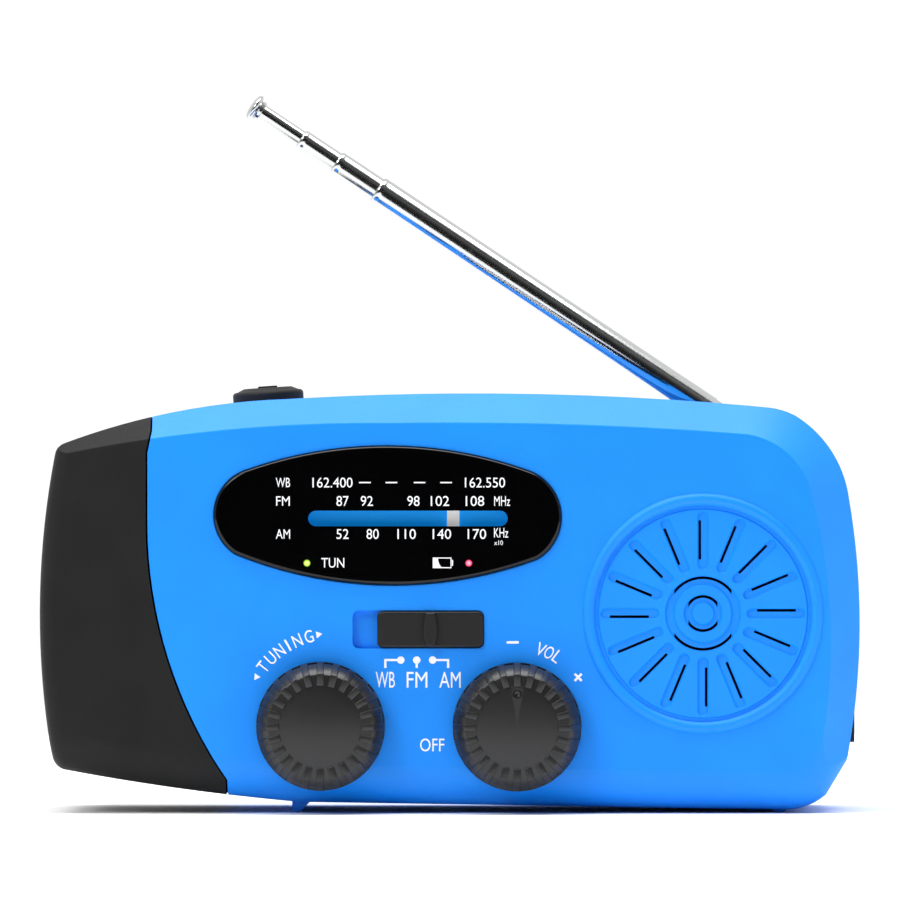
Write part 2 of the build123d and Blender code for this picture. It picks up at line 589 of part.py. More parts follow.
def speaker_cone():
    x, z = SPEAKER
    y = FRONT + WALL
    rim = SPEAKER_R - 3.7
    return turned([(rim, y + 0.2), (rim, y + 0.6), (rim - 1.5, y + 0.7), (5.2, y + 5.0), (0, y + 4.0),
                   (0, y + 3.6), (5.2, y + 4.5), (rim - 1.7, y + 0.2)], x, z)


# ---- main board and what stands on it --------------------------------------------------------
def main_board():
    board = block(-END + 26.5, END - 6.0, BOARD_Y, BOARD_Y + BOARD_T, 7.0, HEIGHT - 7.95)
    board = chamfer(board.edges().filter_by(Axis.Y).group_by(Axis.X)[-1], 5.0)
    board = chamfer(board.edges().filter_by(Axis.Y).group_by(Axis.X)[0], 6.0)
    for x, z in SCREWS:
        board -= bar(x, z, 3.2, BOARD_Y - 1, BOARD_Y + 5)
    for x, z in BOARD_SCREWS:
        board -= bar(x, z, 0.9, BOARD_Y - 1, BOARD_Y + 5)
    return board


def chips():
    """The radio, charger and amplifier circuits, as packages on the back of the board."""
    y = BOARD_Y + BOARD_T
    places = ((-26.0, 48.0, 5.0, 5.0), (28.0, 48.0, 6.0, 4.0), (40.0, 40.0, 4.0, 5.0), (-30.0, 26.0, 4.0, 4.0))
    return [block(x - w / 2, x + w / 2, y, y + 1.1, z - h / 2, z + h / 2) for x, z, w, h in places]


ROD = (BOARD_Y - 4.8, HEIGHT - 11.95)   # y, z of the ferrite rod


def ferrite_rod():
    return along_x(*ROD, 3.0, -20, 17)


def rod_coil():
    return along_x(*ROD, 3.4, -8, 4) - along_x(*ROD, 3.0, -9, 5)


def battery_cell():
    cell = block(END - 28.5, END - 7.5, WELL_FLOOR - 1.9, BACK - WALL - 0.3, 12.0, 48.0)
    return fillet(cell.edges().filter_by(Axis.Z), 2.5)


def usb_a_port():
    x0, x1, y0, z = END - 17.5, PORT_PAD_X + 1.0, BOARD_Y + BOARD_T, PORTS[0]
    shell = block(x0, x1, y0, y0 + 5.7, z - 6.55, z + 6.55)
    shell -= block(x0 + 1, x1 + 1, y0 + 0.4, y0 + 5.3, z - 6.15, z + 6.15)
    return shell + block(x0 + 0.5, x1 - 1.0, y0 + 1.1, y0 + 2.9, z - 5.6, z + 5.6)


def micro_usb_port():
    x0, x1, y0, z = END - 9.4, PORT_PAD_X + 1.0, BOARD_Y + BOARD_T, PORTS[1]
    shell = block(x0, x1, y0, y0 + 2.9, z - 3.75, z + 3.75)
    shell -= block(x0 + 0.6, x1 + 1, y0 + 0.35, y0 + 2.55, z - 3.4, z + 3.4)
    return shell + block(x0 + 0.3, x1 - 0.6, y0 + 1.0, y0 + 1.7, z - 2.4, z + 2.4)


def port_cover():
    """Rubber flap over the sockets, on a thin hinge at its back edge."""
    z0, z1, y0, y1 = FLAP
    flap = block(FLAP_OUT - FLAP_T, FLAP_OUT, y0, y1, z0, z1)
    flap = fillet(flap.edges().filter_by(Axis.X), 1.0)
    y = BOARD_Y + 2.3
    flap += block(FLAP_OUT - FLAP_T - 0.7, FLAP_OUT - FLAP_T, y + 0.1, y + 4.1, PORTS[0] - 5.6, PORTS[0] + 5.6)
    return flap + block(FLAP_OUT - FLAP_T - 0.7, FLAP_OUT - FLAP_T, y, y + 1.9, PORTS[1] - 3.0, PORTS[1] + 3.0)


# ---- solar cell ------------------------------------------------------------------------------
def solar_cell():
    x, y, length, width = SOLAR
    return block(x - length / 2 + 0.6, x + length / 2 - 0.6, y - width / 2 + 0.6, y + width / 2 - 0.6,
                 HEIGHT - 2.4, HEIGHT - 1.8)


def solar_cover():
    x, y, length, width = SOLAR
    plate = block(x - length / 2 + 0.1, x + length / 2 - 0.1, y - width / 2 + 0.1, y + width / 2 - 0.1,
                  HEIGHT - 2.4, HEIGHT - 0.9)
    return plate - block(x - length / 2 + 0.6, x + length / 2 - 0.6, y - width / 2 + 0.6, y + width / 2 - 0.6,
                         HEIGHT - 3, HEIGHT - 1.8)


# ---- screws ----------------------------------------------------------------------------------
def case_screws():
    return [bar(x, z, 2.3, SPLIT + 4, SPLIT + 5.6) - bar(x, z, 0.7, SPLIT + 5.0, SPLIT + 6)
            + bar(x, z, 1.0, SPLIT - 7, SPLIT + 4.2) for x, z in SCREWS]


def board_screws():
    y = BOARD_Y + BOARD_T
    return [bar(x, z, 1.7, y, y + 1.2) + bar(x, z, 0.8, y - 7, y + 0.2) for x, z in BOARD_SCREWS]


# ---- crank and generator ---------------------------------------------------------------------
DRIVE_Y = WELL_FLOOR - 7.3
LAY_Y = WELL_FLOOR - 9.5
HINGE_R = CRANK_R - 4.0                    # from the crank's axis out to the handle's hinge
ARM_END = CRANK_R - 0.5
ARM_Y = (WELL_FLOOR + 2.5, BACK - 0.9)
HANDLE_R = 3.3
HANDLE_Y = WELL_FLOOR + 4.4
HANDLE = (4.9, HINGE_R - 3.7)          # folded handle, from and to, out from the crank's axis


def crank_arm():
    x, z = CRANK
    y0, y1 = ARM_Y
    arm = bar(x, z, 6.4, WELL_FLOOR + 0.4, y1)
    arm += block(x - 6.2, x + 6.2, y0, y1, z, z + ARM_END) & bar(x, z, ARM_END, y0, y1)
    arm -= block(x - HANDLE_R - GAP, x + HANDLE_R + GAP, y0 - 5, y1 + 5, z + HANDLE[0] - GAP, z + ARM_END + 5)
    arm -= bar(x, z, CRANK_SHAFT_R, WELL_FLOOR - 1, y1 - 1.2)
    arm -= bar(x, z, 1.2, y1 - 3, y1 + 1)
    for side in (-1, 1):
        arm -= Pos(x + side * 4.9, HANDLE_Y, z + HINGE_R) * Rot(0, 90, 0) * Cylinder(1.0, 3.0)
    return arm


def crank_screw():
    x, z = CRANK
    y1 = ARM_Y[1]
    return bar(x, z, 2.1, y1, y1 + 0.7) + bar(x, z, 1.0, y1 - 6, y1 + 0.1)


def crank_shaft():
    x, z = CRANK
    y1 = ARM_Y[1] - 1.2
    return bar(x, z, CRANK_SHAFT_R, PLATE_Y - 0.3, y1) - bar(x, z, 1.0, y1 - 5.5, y1 + 1)


def crank_hinge():
    """Fork end with its cross pin, and the long pin the handle spins on."""
    x, z = CRANK[0], CRANK[1] + HINGE_R
    lug = along_x(HANDLE_Y, z, 3.0, x - HANDLE_R, x + HANDLE_R)
    pin = along_x(HANDLE_Y, z, 0.95, x - 5.6, x + 5.6)
    axle = Pos(x, HANDLE_Y, (z + CRANK[1] + HANDLE[0] + 0.6) / 2) * Cylinder(1.2, z - CRANK[1] - HANDLE[0] - 0.6)
    return lug + pin + axle


def crank_handle():
    x, z = CRANK
    z0, z1 = z + HANDLE[0], z + HANDLE[1]
    grip = Pos(x, HANDLE_Y, (z0 + z1) / 2) * Cylinder(HANDLE_R, z1 - z0)
    grip = fillet(grip.edges(), 0.6)
    return grip - Pos(x, HANDLE_Y, (z0 + 0.6 + z1) / 2 + 0.5) * Cylinder(1.2 + RUN_FIT, z1 - z0 + 0.4)


def drive_gear():
    return gear(DRIVE_TEETH, *CRANK, DRIVE_Y, DRIVE_Y + 2.2, CRANK_SHAFT_R, math.degrees(LAY_ANGLE))


def lay_gear():
    """Two gears in one moulding: the small one takes the drive, the large one passes it on."""
    pinion_phase = math.degrees(LAY_ANGLE) + 180 + 180 / PINION_TEETH
    small = gear(PINION_TEETH, *LAY, LAY_Y + GEAR_T, DRIVE_Y + 2.2, 1.0 + RUN_FIT, pinion_phase)
    large = gear(LAY_TEETH, *LAY, LAY_Y, LAY_Y + GEAR_T, 1.0 + RUN_FIT, math.degrees(LAY_ANGLE))
    return small + large


def lay_axle():
    return bar(*LAY, 1.0, PLATE_Y + 0.2, WELL_FLOOR - WALL)


def gearbox_plate():
    corners = ((-4.5, -22.5), (4.5, -23.0), (18.5, -15.5), (36.5, -2.5), (38.5, 3.5), (25.5, 15.0), (17.5, 15.0),
               (-4.5, 5.5))
    points = [(CRANK[0] + x, CRANK[1] + z) for x, z in corners]
    plate = slab(outline(Polyline(*points, close=True)), PLATE_Y, PLATE_Y + 1.0)
    plate -= bar(*CRANK, CRANK_SHAFT_R + RUN_FIT, 0, 10)
    plate -= bar(*LAY, 1.0, 0, 10)
    for x, z in GEARBOX_POSTS:
        plate -= bar(x, z, 1.0, 0, 10)
    return plate


def generator_housing():
    x, z = GENERATOR
    can = bar(x, z, GENERATOR_R, LAY_Y + 2.0, BACK - WALL - 1.5)
    can -= bar(x, z, 1.0 + RUN_FIT, 0, LAY_Y + 4)
    return can - bar(x, z, GENERATOR_R - 1.0, LAY_Y + 3.0, BACK - WALL - 2.5)


def generator_rotor():
    x, z = GENERATOR
    phase = math.degrees(LAY_ANGLE) + 180 + 180 / PINION_TEETH
    pinion = gear(PINION_TEETH, x, z, LAY_Y - 0.1, LAY_Y + GEAR_T + 0.1, 0.9, phase)
    return pinion + bar(x, z, 1.0, LAY_Y - 0.1, LAY_Y + 4) + bar(x, z, ROTOR_R, LAY_Y + 4, BACK - WALL - 3.5)


# ---- aerial ----------------------------------------------------------------------------------
SWIVEL_R = 2.8
TONGUE = 1.6


def aerial_swivel():
    """Turning base with the tongue that the aerial's fork pivots on."""
    x, y, z = PIVOT
    base = Pos(x, y, RABBET_Z - 1.75) * Cylinder(SWIVEL_R, 4.0)
    tongue = Pos(x, y, z) * Rot(90, 0, 0) * Cylinder(1.9, TONGUE)
    tongue += block(x - 1.9, x + 1.9, y - TONGUE / 2, y + TONGUE / 2, RABBET_Z - 0.5, z)
    return base + tongue - bar(x, z, 0.8 + RUN_FIT, y - 5, y + 5)


def aerial_place():
    """Along the aerial, X runs out from the pivot."""
    return Pos(*PIVOT) * Rot(0, 180 + AERIAL_TILT, 0)


def aerial_mouth(section):
    return sum(AERIAL_OUT[:section + 1])


AERIAL_BACK = (7.5, 15.5, 24.2, 33.2)  # where each section's inner end lies, out from the pivot


def aerial_section(section):
    outer = AERIAL_D[section] / 2
    x0, x1 = AERIAL_BACK[section], aerial_mouth(section)
    tube = along_x(0, 0, outer, x0, x1)
    if section < 3:
        tube = fillet(tube.edges().sort_by(Axis.X)[-1], AERIAL_WALL * 0.8)
        tube -= along_x(0, 0, outer - AERIAL_WALL, x0 - 1, x1 + 1)
    return aerial_place() * tube


def aerial_fork():
    """Solid root of the aerial, slotted for the tongue, with the bottom tube pressed over it."""
    r = AERIAL_D[0] / 2
    root = along_x(0, 0, r, 0, AERIAL_BACK[0]) + Rot(90, 0, 0) * Cylinder(r, 2 * r)
    root = root & along_x(0, 0, r, -r, AERIAL_BACK[0])
    # its back is rounded, to clear the step in the case as it swivels
    root = root & (Sphere(r + 0.4) + along_x(0, 0, r, 0.5, AERIAL_BACK[0]))
    root -= block(-r - 1, 2.5, -TONGUE / 2 - 0.05, TONGUE / 2 + 0.05, -r - 1, r + 1)
    return aerial_place() * (root - Rot(90, 0, 0) * Cylinder(0.8, 10))


def aerial_pin():
    x, y, z = PIVOT
    return bar(x, z, 0.8, y - 2.15, y + 2.15)


def aerial_tip():
    x = aerial_mouth(3)
    tip = along_x(0, 0, 1.275, x, x + 0.8) + along_x(0, 0, 2.2, x + 0.8, x + 2.4)
    return aerial_place() * fillet(tip.edges().sort_by(Axis.X)[-2:], 0.5)


# ---- write the pieces ------------------------------------------------------------------------
pieces = {
    "front_shell": front_shell,
    "rear_shell": rear_shell,
    "lamp_housing": lamp_housing,
    "lamp_lens": lamp_lens,
    "lamp_reflector": lamp_reflector,
    "lamp_board": lamp_board,
    "lamp_leds": lamp_leds,
    "lamp_button": lamp_button,
    "lamp_switch": lamp_switch,
    "dial_window": dial_window,
    "dial_backing": dial_backing,
    "tuning_indicator": lambda: indicator(*LEDS[0]),
    "charge_indicator": lambda: indicator(*LEDS[1]),
    "dial_carriage": dial_carriage,
    "tuning_knob": lambda: knob(*TUNING, False),
    "tuning_shaft": lambda: shaft(*TUNING, POT_Y + 5.0),
    "tuning_gear": tuning_gear,
    "tuning_capacitor": lambda: control(*TUNING),
    "volume_knob": lambda: knob(*VOLUME, True),
    "volume_shaft": lambda: shaft(*VOLUME, POT_Y + 5.0),
    "volume_control": lambda: control(*VOLUME),
    "band_slider": band_slider,
    "band_switch": band_switch,
    "switch_board": switch_board,
    "speaker_frame": speaker_frame,
    "speaker_magnet": speaker_magnet,
    "speaker_cone": speaker_cone,
    "main_board": main_board,
    "board_chips": chips,
    "ferrite_rod": ferrite_rod,
    "rod_coil": rod_coil,
    "battery_cell": battery_cell,
    "usb_a_port": usb_a_port,
    "micro_usb_port": micro_usb_port,
    "port_cover": port_cover,
    "solar_cell": solar_cell,
    "solar_cover": solar_cover,
    "case_screws": case_screws,
    "board_screws": board_screws,
    "crank_arm": crank_arm,
    "crank_screw": crank_screw,
    "crank_shaft": crank_shaft,
    "crank_hinge": crank_hinge,
    "crank_handle": crank_handle,
    "drive_gear": drive_gear,
    "lay_gear": lay_gear,
    "lay_axle": lay_axle,
    "gearbox_plate": gearbox_plate,
    "generator_housing": generator_housing,
    "generator_rotor": generator_rotor,
    "aerial_swivel": aerial_swivel,
    "aerial_fork": aerial_fork,
    "aerial_pin": aerial_pin,
    "aerial_section_1": lambda: aerial_section(0),
    "aerial_section_2": lambda: aerial_section(1),
    "aerial_section_3": lambda: aerial_section(2),
    "aerial_section_4": lambda: aerial_section(3),
    "aerial_tip": aerial_tip,
}

os.makedirs("parts", exist_ok=True)
for name, make in pieces.items():
    piece = make()
    if isinstance(piece, list):
        piece = Compound(children=piece)
    export_step(piece, f"parts/{name}.step")
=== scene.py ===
import json
import math

import bmesh
import bpy
from mathutils import Matrix, Vector


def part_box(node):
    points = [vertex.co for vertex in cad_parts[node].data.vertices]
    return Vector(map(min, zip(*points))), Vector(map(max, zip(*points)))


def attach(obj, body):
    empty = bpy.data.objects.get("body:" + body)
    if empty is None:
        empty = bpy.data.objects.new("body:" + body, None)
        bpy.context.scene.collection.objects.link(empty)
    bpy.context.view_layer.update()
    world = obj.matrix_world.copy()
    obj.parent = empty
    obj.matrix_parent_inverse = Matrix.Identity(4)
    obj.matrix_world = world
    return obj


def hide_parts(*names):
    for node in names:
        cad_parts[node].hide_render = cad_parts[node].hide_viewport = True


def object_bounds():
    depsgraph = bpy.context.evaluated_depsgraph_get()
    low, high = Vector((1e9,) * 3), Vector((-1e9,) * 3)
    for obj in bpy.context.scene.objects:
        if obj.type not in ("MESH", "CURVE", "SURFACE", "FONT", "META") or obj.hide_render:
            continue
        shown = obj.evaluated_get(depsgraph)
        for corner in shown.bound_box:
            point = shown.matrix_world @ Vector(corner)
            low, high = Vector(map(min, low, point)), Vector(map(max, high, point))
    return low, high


# Hand-crank emergency radio, standing on its two foot ribs with its front towards -Y. The packed
# parts give every size and place; this script gives them their finish, and rebuilds the pieces
# whose edges and small marks the parts leave plain. Metres throughout.
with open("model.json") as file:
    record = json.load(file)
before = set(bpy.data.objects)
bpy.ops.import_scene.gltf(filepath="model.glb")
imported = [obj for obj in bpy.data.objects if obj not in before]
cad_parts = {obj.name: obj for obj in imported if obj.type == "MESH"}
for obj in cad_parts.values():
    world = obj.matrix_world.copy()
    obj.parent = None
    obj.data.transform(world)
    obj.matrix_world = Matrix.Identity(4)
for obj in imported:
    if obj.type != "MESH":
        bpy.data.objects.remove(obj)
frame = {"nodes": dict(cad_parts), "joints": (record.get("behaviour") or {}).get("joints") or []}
box_low, box_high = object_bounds()
MM = 0.001

# ---- Studio ----------------------------------------------------------------------------------
# The radio stands on a sheet of white paper under one softbox, with a smaller one ahead of it,
# above and to the left. The room is white behind the radio and dark behind the camera, which
# polished parts pick up.


def linear(code):
    """An sRGB hex colour as linear red, green, blue and alpha."""
    shares = [int(code[i:i + 2], 16) / 255 for i in (1, 3, 5)]
    return [c / 12.92 if c <= 0.04045 else ((c + 0.055) / 1.055) ** 2.4 for c in shares] + [1.0]


def add(tree, kind, inputs=None, **settings):
    """Adds a node with its settings; an input is given a value, or the socket that feeds it."""
    made = tree.nodes.new(kind)
    for name, value in settings.items():
        setattr(made, name, value)
    for name, value in (inputs or {}).items():
        if isinstance(value, bpy.types.NodeSocket):
            tree.links.new(value, made.inputs[name])
        else:
            made.inputs[name].default_value = value
    return made


def finish_named(name):
    """A new material with an empty node tree."""
    material = bpy.data.materials.new(name)
    material.use_nodes = True
    material.node_tree.nodes.clear()
    return material


def linked(name, mesh):
    """An object for a mesh, put in the scene."""
    made = bpy.data.objects.new(name, mesh)
    bpy.context.scene.collection.objects.link(made)
    return made


def white_paper():
    """Matt background paper: pale, with the faint tooth of its fibres."""
    fibre = 0.4 * MM
    material = finish_named("white_paper")
    tree = material.node_tree
    place = add(tree, "ShaderNodeTexCoord")
    tooth = add(tree, "ShaderNodeTexNoise", {"Vector": place.outputs["Object"], "Scale": 1 / fibre})
    bump = add(tree, "ShaderNodeBump", {"Height": tooth.outputs["Fac"], "Strength": 0.1,
                                        "Distance": 0.02 * MM})
    shader = add(tree, "ShaderNodeBsdfPrincipled", {"Base Color": linear("#FBFBFB"), "Roughness": 0.9,
                                                    "Normal": bump.outputs["Normal"]})
    add(tree, "ShaderNodeOutputMaterial", {"Surface": shader.outputs["BSDF"]})
    return material


paper_half = 0.42
paper_z = box_low.z - 0.05 * MM
paper_mesh = bpy.data.meshes.new("paper")
paper_mesh.from_pydata([(x, y, paper_z) for x, y in ((-paper_half, -paper_half), (paper_half, -paper_half),
                                                     (paper_half, paper_half), (-paper_half, paper_half))],
                       [], [(0, 1, 2, 3)])
paper_mesh.materials.append(white_paper())
linked("paper", paper_mesh)

room = bpy.data.worlds.new("room")
bpy.context.scene.world = room
room.use_nodes = True
room.node_tree.nodes.clear()
direction = add(room.node_tree, "ShaderNodeTexCoord")
facing = add(room.node_tree, "ShaderNodeSeparateXYZ", {"Vector": direction.outputs["Generated"]})


def room_ramp(source, stops):
    """Brightness against one part of the direction looked in."""
    ramp = add(room.node_tree, "ShaderNodeValToRGB", {"Fac": source})
    for at, level in stops:
        ends = ramp.color_ramp.elements
        stop = ends.new(at) if 0 < at < 1 else ends[0 if at == 0 else -1]
        stop.color = (level, level, level, 1.0)
    return ramp.outputs["Color"]


# in front of the radio: dull near the floor, a dark gap under a bright ceiling; behind it: white
ahead = room_ramp(facing.outputs["Z"], ((0.0, 0.65), (0.3, 0.6), (0.66, 0.65), (0.7, 0.04), (0.76, 0.04),
                                        (0.8, 0.7), (1.0, 0.8)))
turned_away = add(room.node_tree, "ShaderNodeMath", {0: facing.outputs["Y"], 1: -1.0}, operation="MULTIPLY")
behind_camera = room_ramp(turned_away.outputs["Value"], ((0.0, 1.0), (0.3, 0.85), (0.6, 0.25), (0.8, 0.12),
                                                         (0.96, 0.02), (1.0, 0.02)))
front_half = add(room.node_tree, "ShaderNodeMix", {"Factor": 1.0, "A": ahead, "B": behind_camera},
                 data_type="RGBA", blend_type="MULTIPLY")
which_half = add(room.node_tree, "ShaderNodeMapRange", {"Value": facing.outputs["Y"], "From Min": -0.25,
                                                        "From Max": 0.25})
whole_room = add(room.node_tree, "ShaderNodeMix", {"Factor": which_half.outputs["Result"],
                                                   "A": front_half.outputs["Result"],
                                                   "B": (0.75, 0.75, 0.75, 1.0)}, data_type="RGBA")
light_of_room = add(room.node_tree, "ShaderNodeBackground", {"Color": whole_room.outputs["Result"],
                                                             "Strength": 1.4})
add(room.node_tree, "ShaderNodeOutputWorld", {"Surface": light_of_room.outputs["Background"]})


def softbox(name, place, aim, wide, high, watts):
    """A rectangular diffused light, aimed at a point."""
    light = bpy.data.lights.new(name, "AREA")
    light.shape = "RECTANGLE"
    light.size, light.size_y, light.energy = wide, high, watts
    stand = bpy.data.objects.new(name, light)
    stand.location = place
    stand.rotation_euler = (Vector(aim) - Vector(place)).to_track_quat("-Z", "Y").to_euler()
    bpy.context.scene.collection.objects.link(stand)


softbox("softbox_above", (0.0, -0.1, 1.0), (0.0, -0.05, 0.0), 1.1, 0.5, 11.0)
softbox("softbox_ahead", (-0.6, -0.7, 0.75), (0.0, 0.0, 0.04), 0.45, 0.35, 5.0)

# a long lens, level with the middle of the radio and its aerial
lens = bpy.data.cameras.new("camera")
lens.lens = 400.0
lens.sensor_width = 36.0
framed = 1.095 * (box_high.x - box_low.x)
camera = bpy.data.objects.new("camera", lens)
panel_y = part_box("lamp_housing")[0].y
camera.location = ((box_low.x + box_high.x) / 2, panel_y - framed * lens.lens / lens.sensor_width,
                   (box_low.z + box_high.z) / 2)
camera.rotation_euler = (math.radians(90), 0, 0)
bpy.context.scene.collection.objects.link(camera)
bpy.context.scene.camera = camera
bpy.context.scene.view_settings.view_transform = "Standard"

# ---- Case ------------------------------------------------------------------------------------
# Two shells of blue ABS, injection moulded in a spark-eroded tool, so that the colour goes right
# through and the skin has a fine even grain. The grille's slits are moulded in the front one.


def moulded_abs(name, colour, shade, roughness, grain, relief, gloss=0.5, painted_glow=0.0):
    """ABS from a textured tool: even colour, broken highlights, a duller sheen in the grain's pits.
    A given strength of painted glow, in the surface's own colour, brightens a part that no lamp lights."""
    cloud = 9 * MM                     # slow variation across a panel
    material = finish_named(name)
    tree = material.node_tree
    place = add(tree, "ShaderNodeTexCoord")
    pits = add(tree, "ShaderNodeTexNoise", {"Vector": place.outputs["Object"], "Scale": 1 / grain,
                                            "Detail": 3.0, "Roughness": 0.65})
    drift = add(tree, "ShaderNodeTexNoise", {"Vector": place.outputs["Object"], "Scale": 1 / cloud,
                                             "Detail": 1.0})
    both = add(tree, "ShaderNodeMath", {0: pits.outputs["Fac"], 1: drift.outputs["Fac"]},
               operation="MULTIPLY")
    share = add(tree, "ShaderNodeMapRange", {"Value": both.outputs["Value"], "From Min": 0.1,
                                             "From Max": 0.4})
    tint = add(tree, "ShaderNodeMix", {"Factor": share.outputs["Result"], "A": linear(shade),
                                       "B": linear(colour)}, data_type="RGBA")
    dull = add(tree, "ShaderNodeMapRange", {"Value": pits.outputs["Fac"], "From Min": 0.3, "From Max": 0.7,
                                            "To Min": roughness + 0.06, "To Max": roughness - 0.06})
    bump = add(tree, "ShaderNodeBump", {"Height": pits.outputs["Fac"], "Strength": 0.7,
                                        "Distance": relief})
    shader = add(tree, "ShaderNodeBsdfPrincipled",
                 {"Base Color": tint.outputs["Result"], "Roughness": dull.outputs["Result"], "IOR": 1.53,
                  "Specular IOR Level": gloss, "Normal": bump.outputs["Normal"],
                  # painted glow: the surface's own colour given off as light, though no lamp is behind it
                  "Emission Color": tint.outputs["Result"], "Emission Strength": painted_glow})
    add(tree, "ShaderNodeOutputMaterial", {"Surface": shader.outputs["BSDF"]})
    return material


def dress(material, *names):
    """Gives CAD nodes their finish."""
    for name in names:
        frame["nodes"][name].material_slots[0].material = material


dress(moulded_abs("blue_abs", "#0090FF", "#008AF8", 0.5, 0.25 * MM, 0.02 * MM, gloss=0.35),
      "front_shell", "rear_shell")

# ---- Loudspeaker -----------------------------------------------------------------------------
# A 36 mm loudspeaker behind the grille: pressed and zinc-plated steel basket, paper cone, and a
# magnet in a steel cup. Only the dark cone shows, through the slits.


def plated_steel(name, colour, roughness, grain):
    """Rolled steel under bright zinc: pale, slightly blue, with cloudy patches in the sheen."""
    material = finish_named(name)
    tree = material.node_tree
    place = add(tree, "ShaderNodeTexCoord")
    cloud = add(tree, "ShaderNodeTexNoise", {"Vector": place.outputs["Object"], "Scale": 1 / grain,
                                             "Detail": 4.0})
    dull = add(tree, "ShaderNodeMapRange", {"Value": cloud.outputs["Fac"], "From Min": 0.3, "From Max": 0.7,
                                            "To Min": roughness - 0.08, "To Max": roughness + 0.1})
    bump = add(tree, "ShaderNodeBump", {"Height": cloud.outputs["Fac"], "Strength": 0.2,
                                        "Distance": 0.01 * MM})
    shader = add(tree, "ShaderNodeBsdfPrincipled",
                 {"Base Color": linear(colour), "Metallic": 1.0, "Roughness": dull.outputs["Result"],
                  "Normal": bump.outputs["Normal"]})
    add(tree, "ShaderNodeOutputMaterial", {"Surface": shader.outputs["BSDF"]})
    return material


zinc_steel = plated_steel("zinc_plated_steel", "#C9CCD0", 0.3, 1.5 * MM)
dress(zinc_steel, "speaker_frame", "speaker_magnet")
dress(moulded_abs("speaker_paper", "#141414", "#0C0C0C", 0.85, 0.5 * MM, 0.05 * MM), "speaker_cone")

# ---- Dial ------------------------------------------------------------------------------------
# A window of black polycarbonate stands proud of the panel, with the scales pad-printed on it in
# white. The pointer runs behind a slot in it, over a strip of blue printed film. Both get a painted
# glow, and the film a brighter blue, to make up for the shade behind the window.


def gloss_polycarbonate():
    """Black polycarbonate from a polished tool: near-mirror sheen with the odd fine wipe mark."""
    wipe = 0.6 * MM
    material = finish_named("black_polycarbonate")
    tree = material.node_tree
    place = add(tree, "ShaderNodeTexCoord")
    smear = add(tree, "ShaderNodeMapping", {"Vector": place.outputs["Object"], "Scale": (0.15, 1, 1)})
    marks = add(tree, "ShaderNodeTexNoise", {"Vector": smear.outputs["Vector"], "Scale": 1 / wipe,
                                             "Detail": 5.0, "Roughness": 0.7})
    dull = add(tree, "ShaderNodeMapRange", {"Value": marks.outputs["Fac"], "From Min": 0.35,
                                            "From Max": 0.75, "To Min": 0.06, "To Max": 0.12})
    shader = add(tree, "ShaderNodeBsdfPrincipled",
                 {"Base Color": linear("#020203"), "Roughness": dull.outputs["Result"], "IOR": 1.585,
                  "Specular IOR Level": 0.25})
    add(tree, "ShaderNodeOutputMaterial", {"Surface": shader.outputs["BSDF"]})
    return material


def indicator_epoxy(name, core, edge, node):
    """Tinted epoxy glowing from behind with its diode: nearly white in the middle, coloured at the edge."""
    low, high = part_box(node)
    centre = (low + high) / 2
    radius = 0.5 * MM                  # of the lit tip
    material = finish_named(name)
    tree = material.node_tree
    place = add(tree, "ShaderNodeTexCoord")
    about = add(tree, "ShaderNodeMapping", {"Vector": place.outputs["Object"],
                                            "Location": (-centre.x / radius, 0, -centre.z / radius),
                                            "Scale": (1 / radius, 0, 1 / radius)})
    out = add(tree, "ShaderNodeVectorMath", {0: about.outputs["Vector"]}, operation="LENGTH")
    glow = add(tree, "ShaderNodeValToRGB", {"Fac": out.outputs["Value"]})
    glow.color_ramp.elements[0].position, glow.color_ramp.elements[0].color = 0.25, linear(core)
    glow.color_ramp.elements[1].position, glow.color_ramp.elements[1].color = 1.0, linear(edge)
    shader = add(tree, "ShaderNodeBsdfPrincipled",
                 {"Base Color": glow.outputs["Color"], "Roughness": 0.2, "IOR": 1.54,
                  "Emission Color": glow.outputs["Color"], "Emission Strength": 0.55})
    add(tree, "ShaderNodeOutputMaterial", {"Surface": shader.outputs["BSDF"]})
    return material


dress(gloss_polycarbonate(), "dial_window")
# the blue film and the white pointer get a painted glow, and the film a brighter blue, to make up for the
# shade behind the window
dress(moulded_abs("blue_film_painted_glow", "#0AA4FF", "#089CF8", 0.5, 0.2 * MM, 0.005 * MM, gloss=0.3,
                  painted_glow=0.33), "dial_backing")
dress(moulded_abs("white_polystyrene_painted_glow", "#DADAD8", "#D2D2D0", 0.45, 0.3 * MM, 0.01 * MM,
                  painted_glow=0.5), "dial_carriage")
dress(indicator_epoxy("lit_green_epoxy", "#F6F48A", "#7FB81A", "tuning_indicator"), "tuning_indicator")
dress(indicator_epoxy("lit_red_epoxy", "#FFA0BE", "#D8204A", "charge_indicator"), "charge_indicator")

# Ink of the scales and legends: a layer a fiftieth of a millimetre thick, laid on by a silicone
# pad, matt white and a little uneven where the pad lifted.
INK = 0.02 * MM


def white_ink():
    """Pad-printing ink: matt white, thinner in small patches."""
    patch = 0.5 * MM
    material = finish_named("white_ink")
    tree = material.node_tree
    place = add(tree, "ShaderNodeTexCoord")
    cover = add(tree, "ShaderNodeTexNoise", {"Vector": place.outputs["Object"], "Scale": 1 / patch})
    tint = add(tree, "ShaderNodeMix", {"Factor": cover.outputs["Fac"], "A": linear("#F0F4F8"),
                                       "B": linear("#FFFFFF")}, data_type="RGBA")
    shader = add(tree, "ShaderNodeBsdfPrincipled", {"Base Color": tint.outputs["Result"],
                                                    "Roughness": 0.6, "Specular IOR Level": 0.3})
    add(tree, "ShaderNodeOutputMaterial", {"Surface": shader.outputs["BSDF"]})
    return material


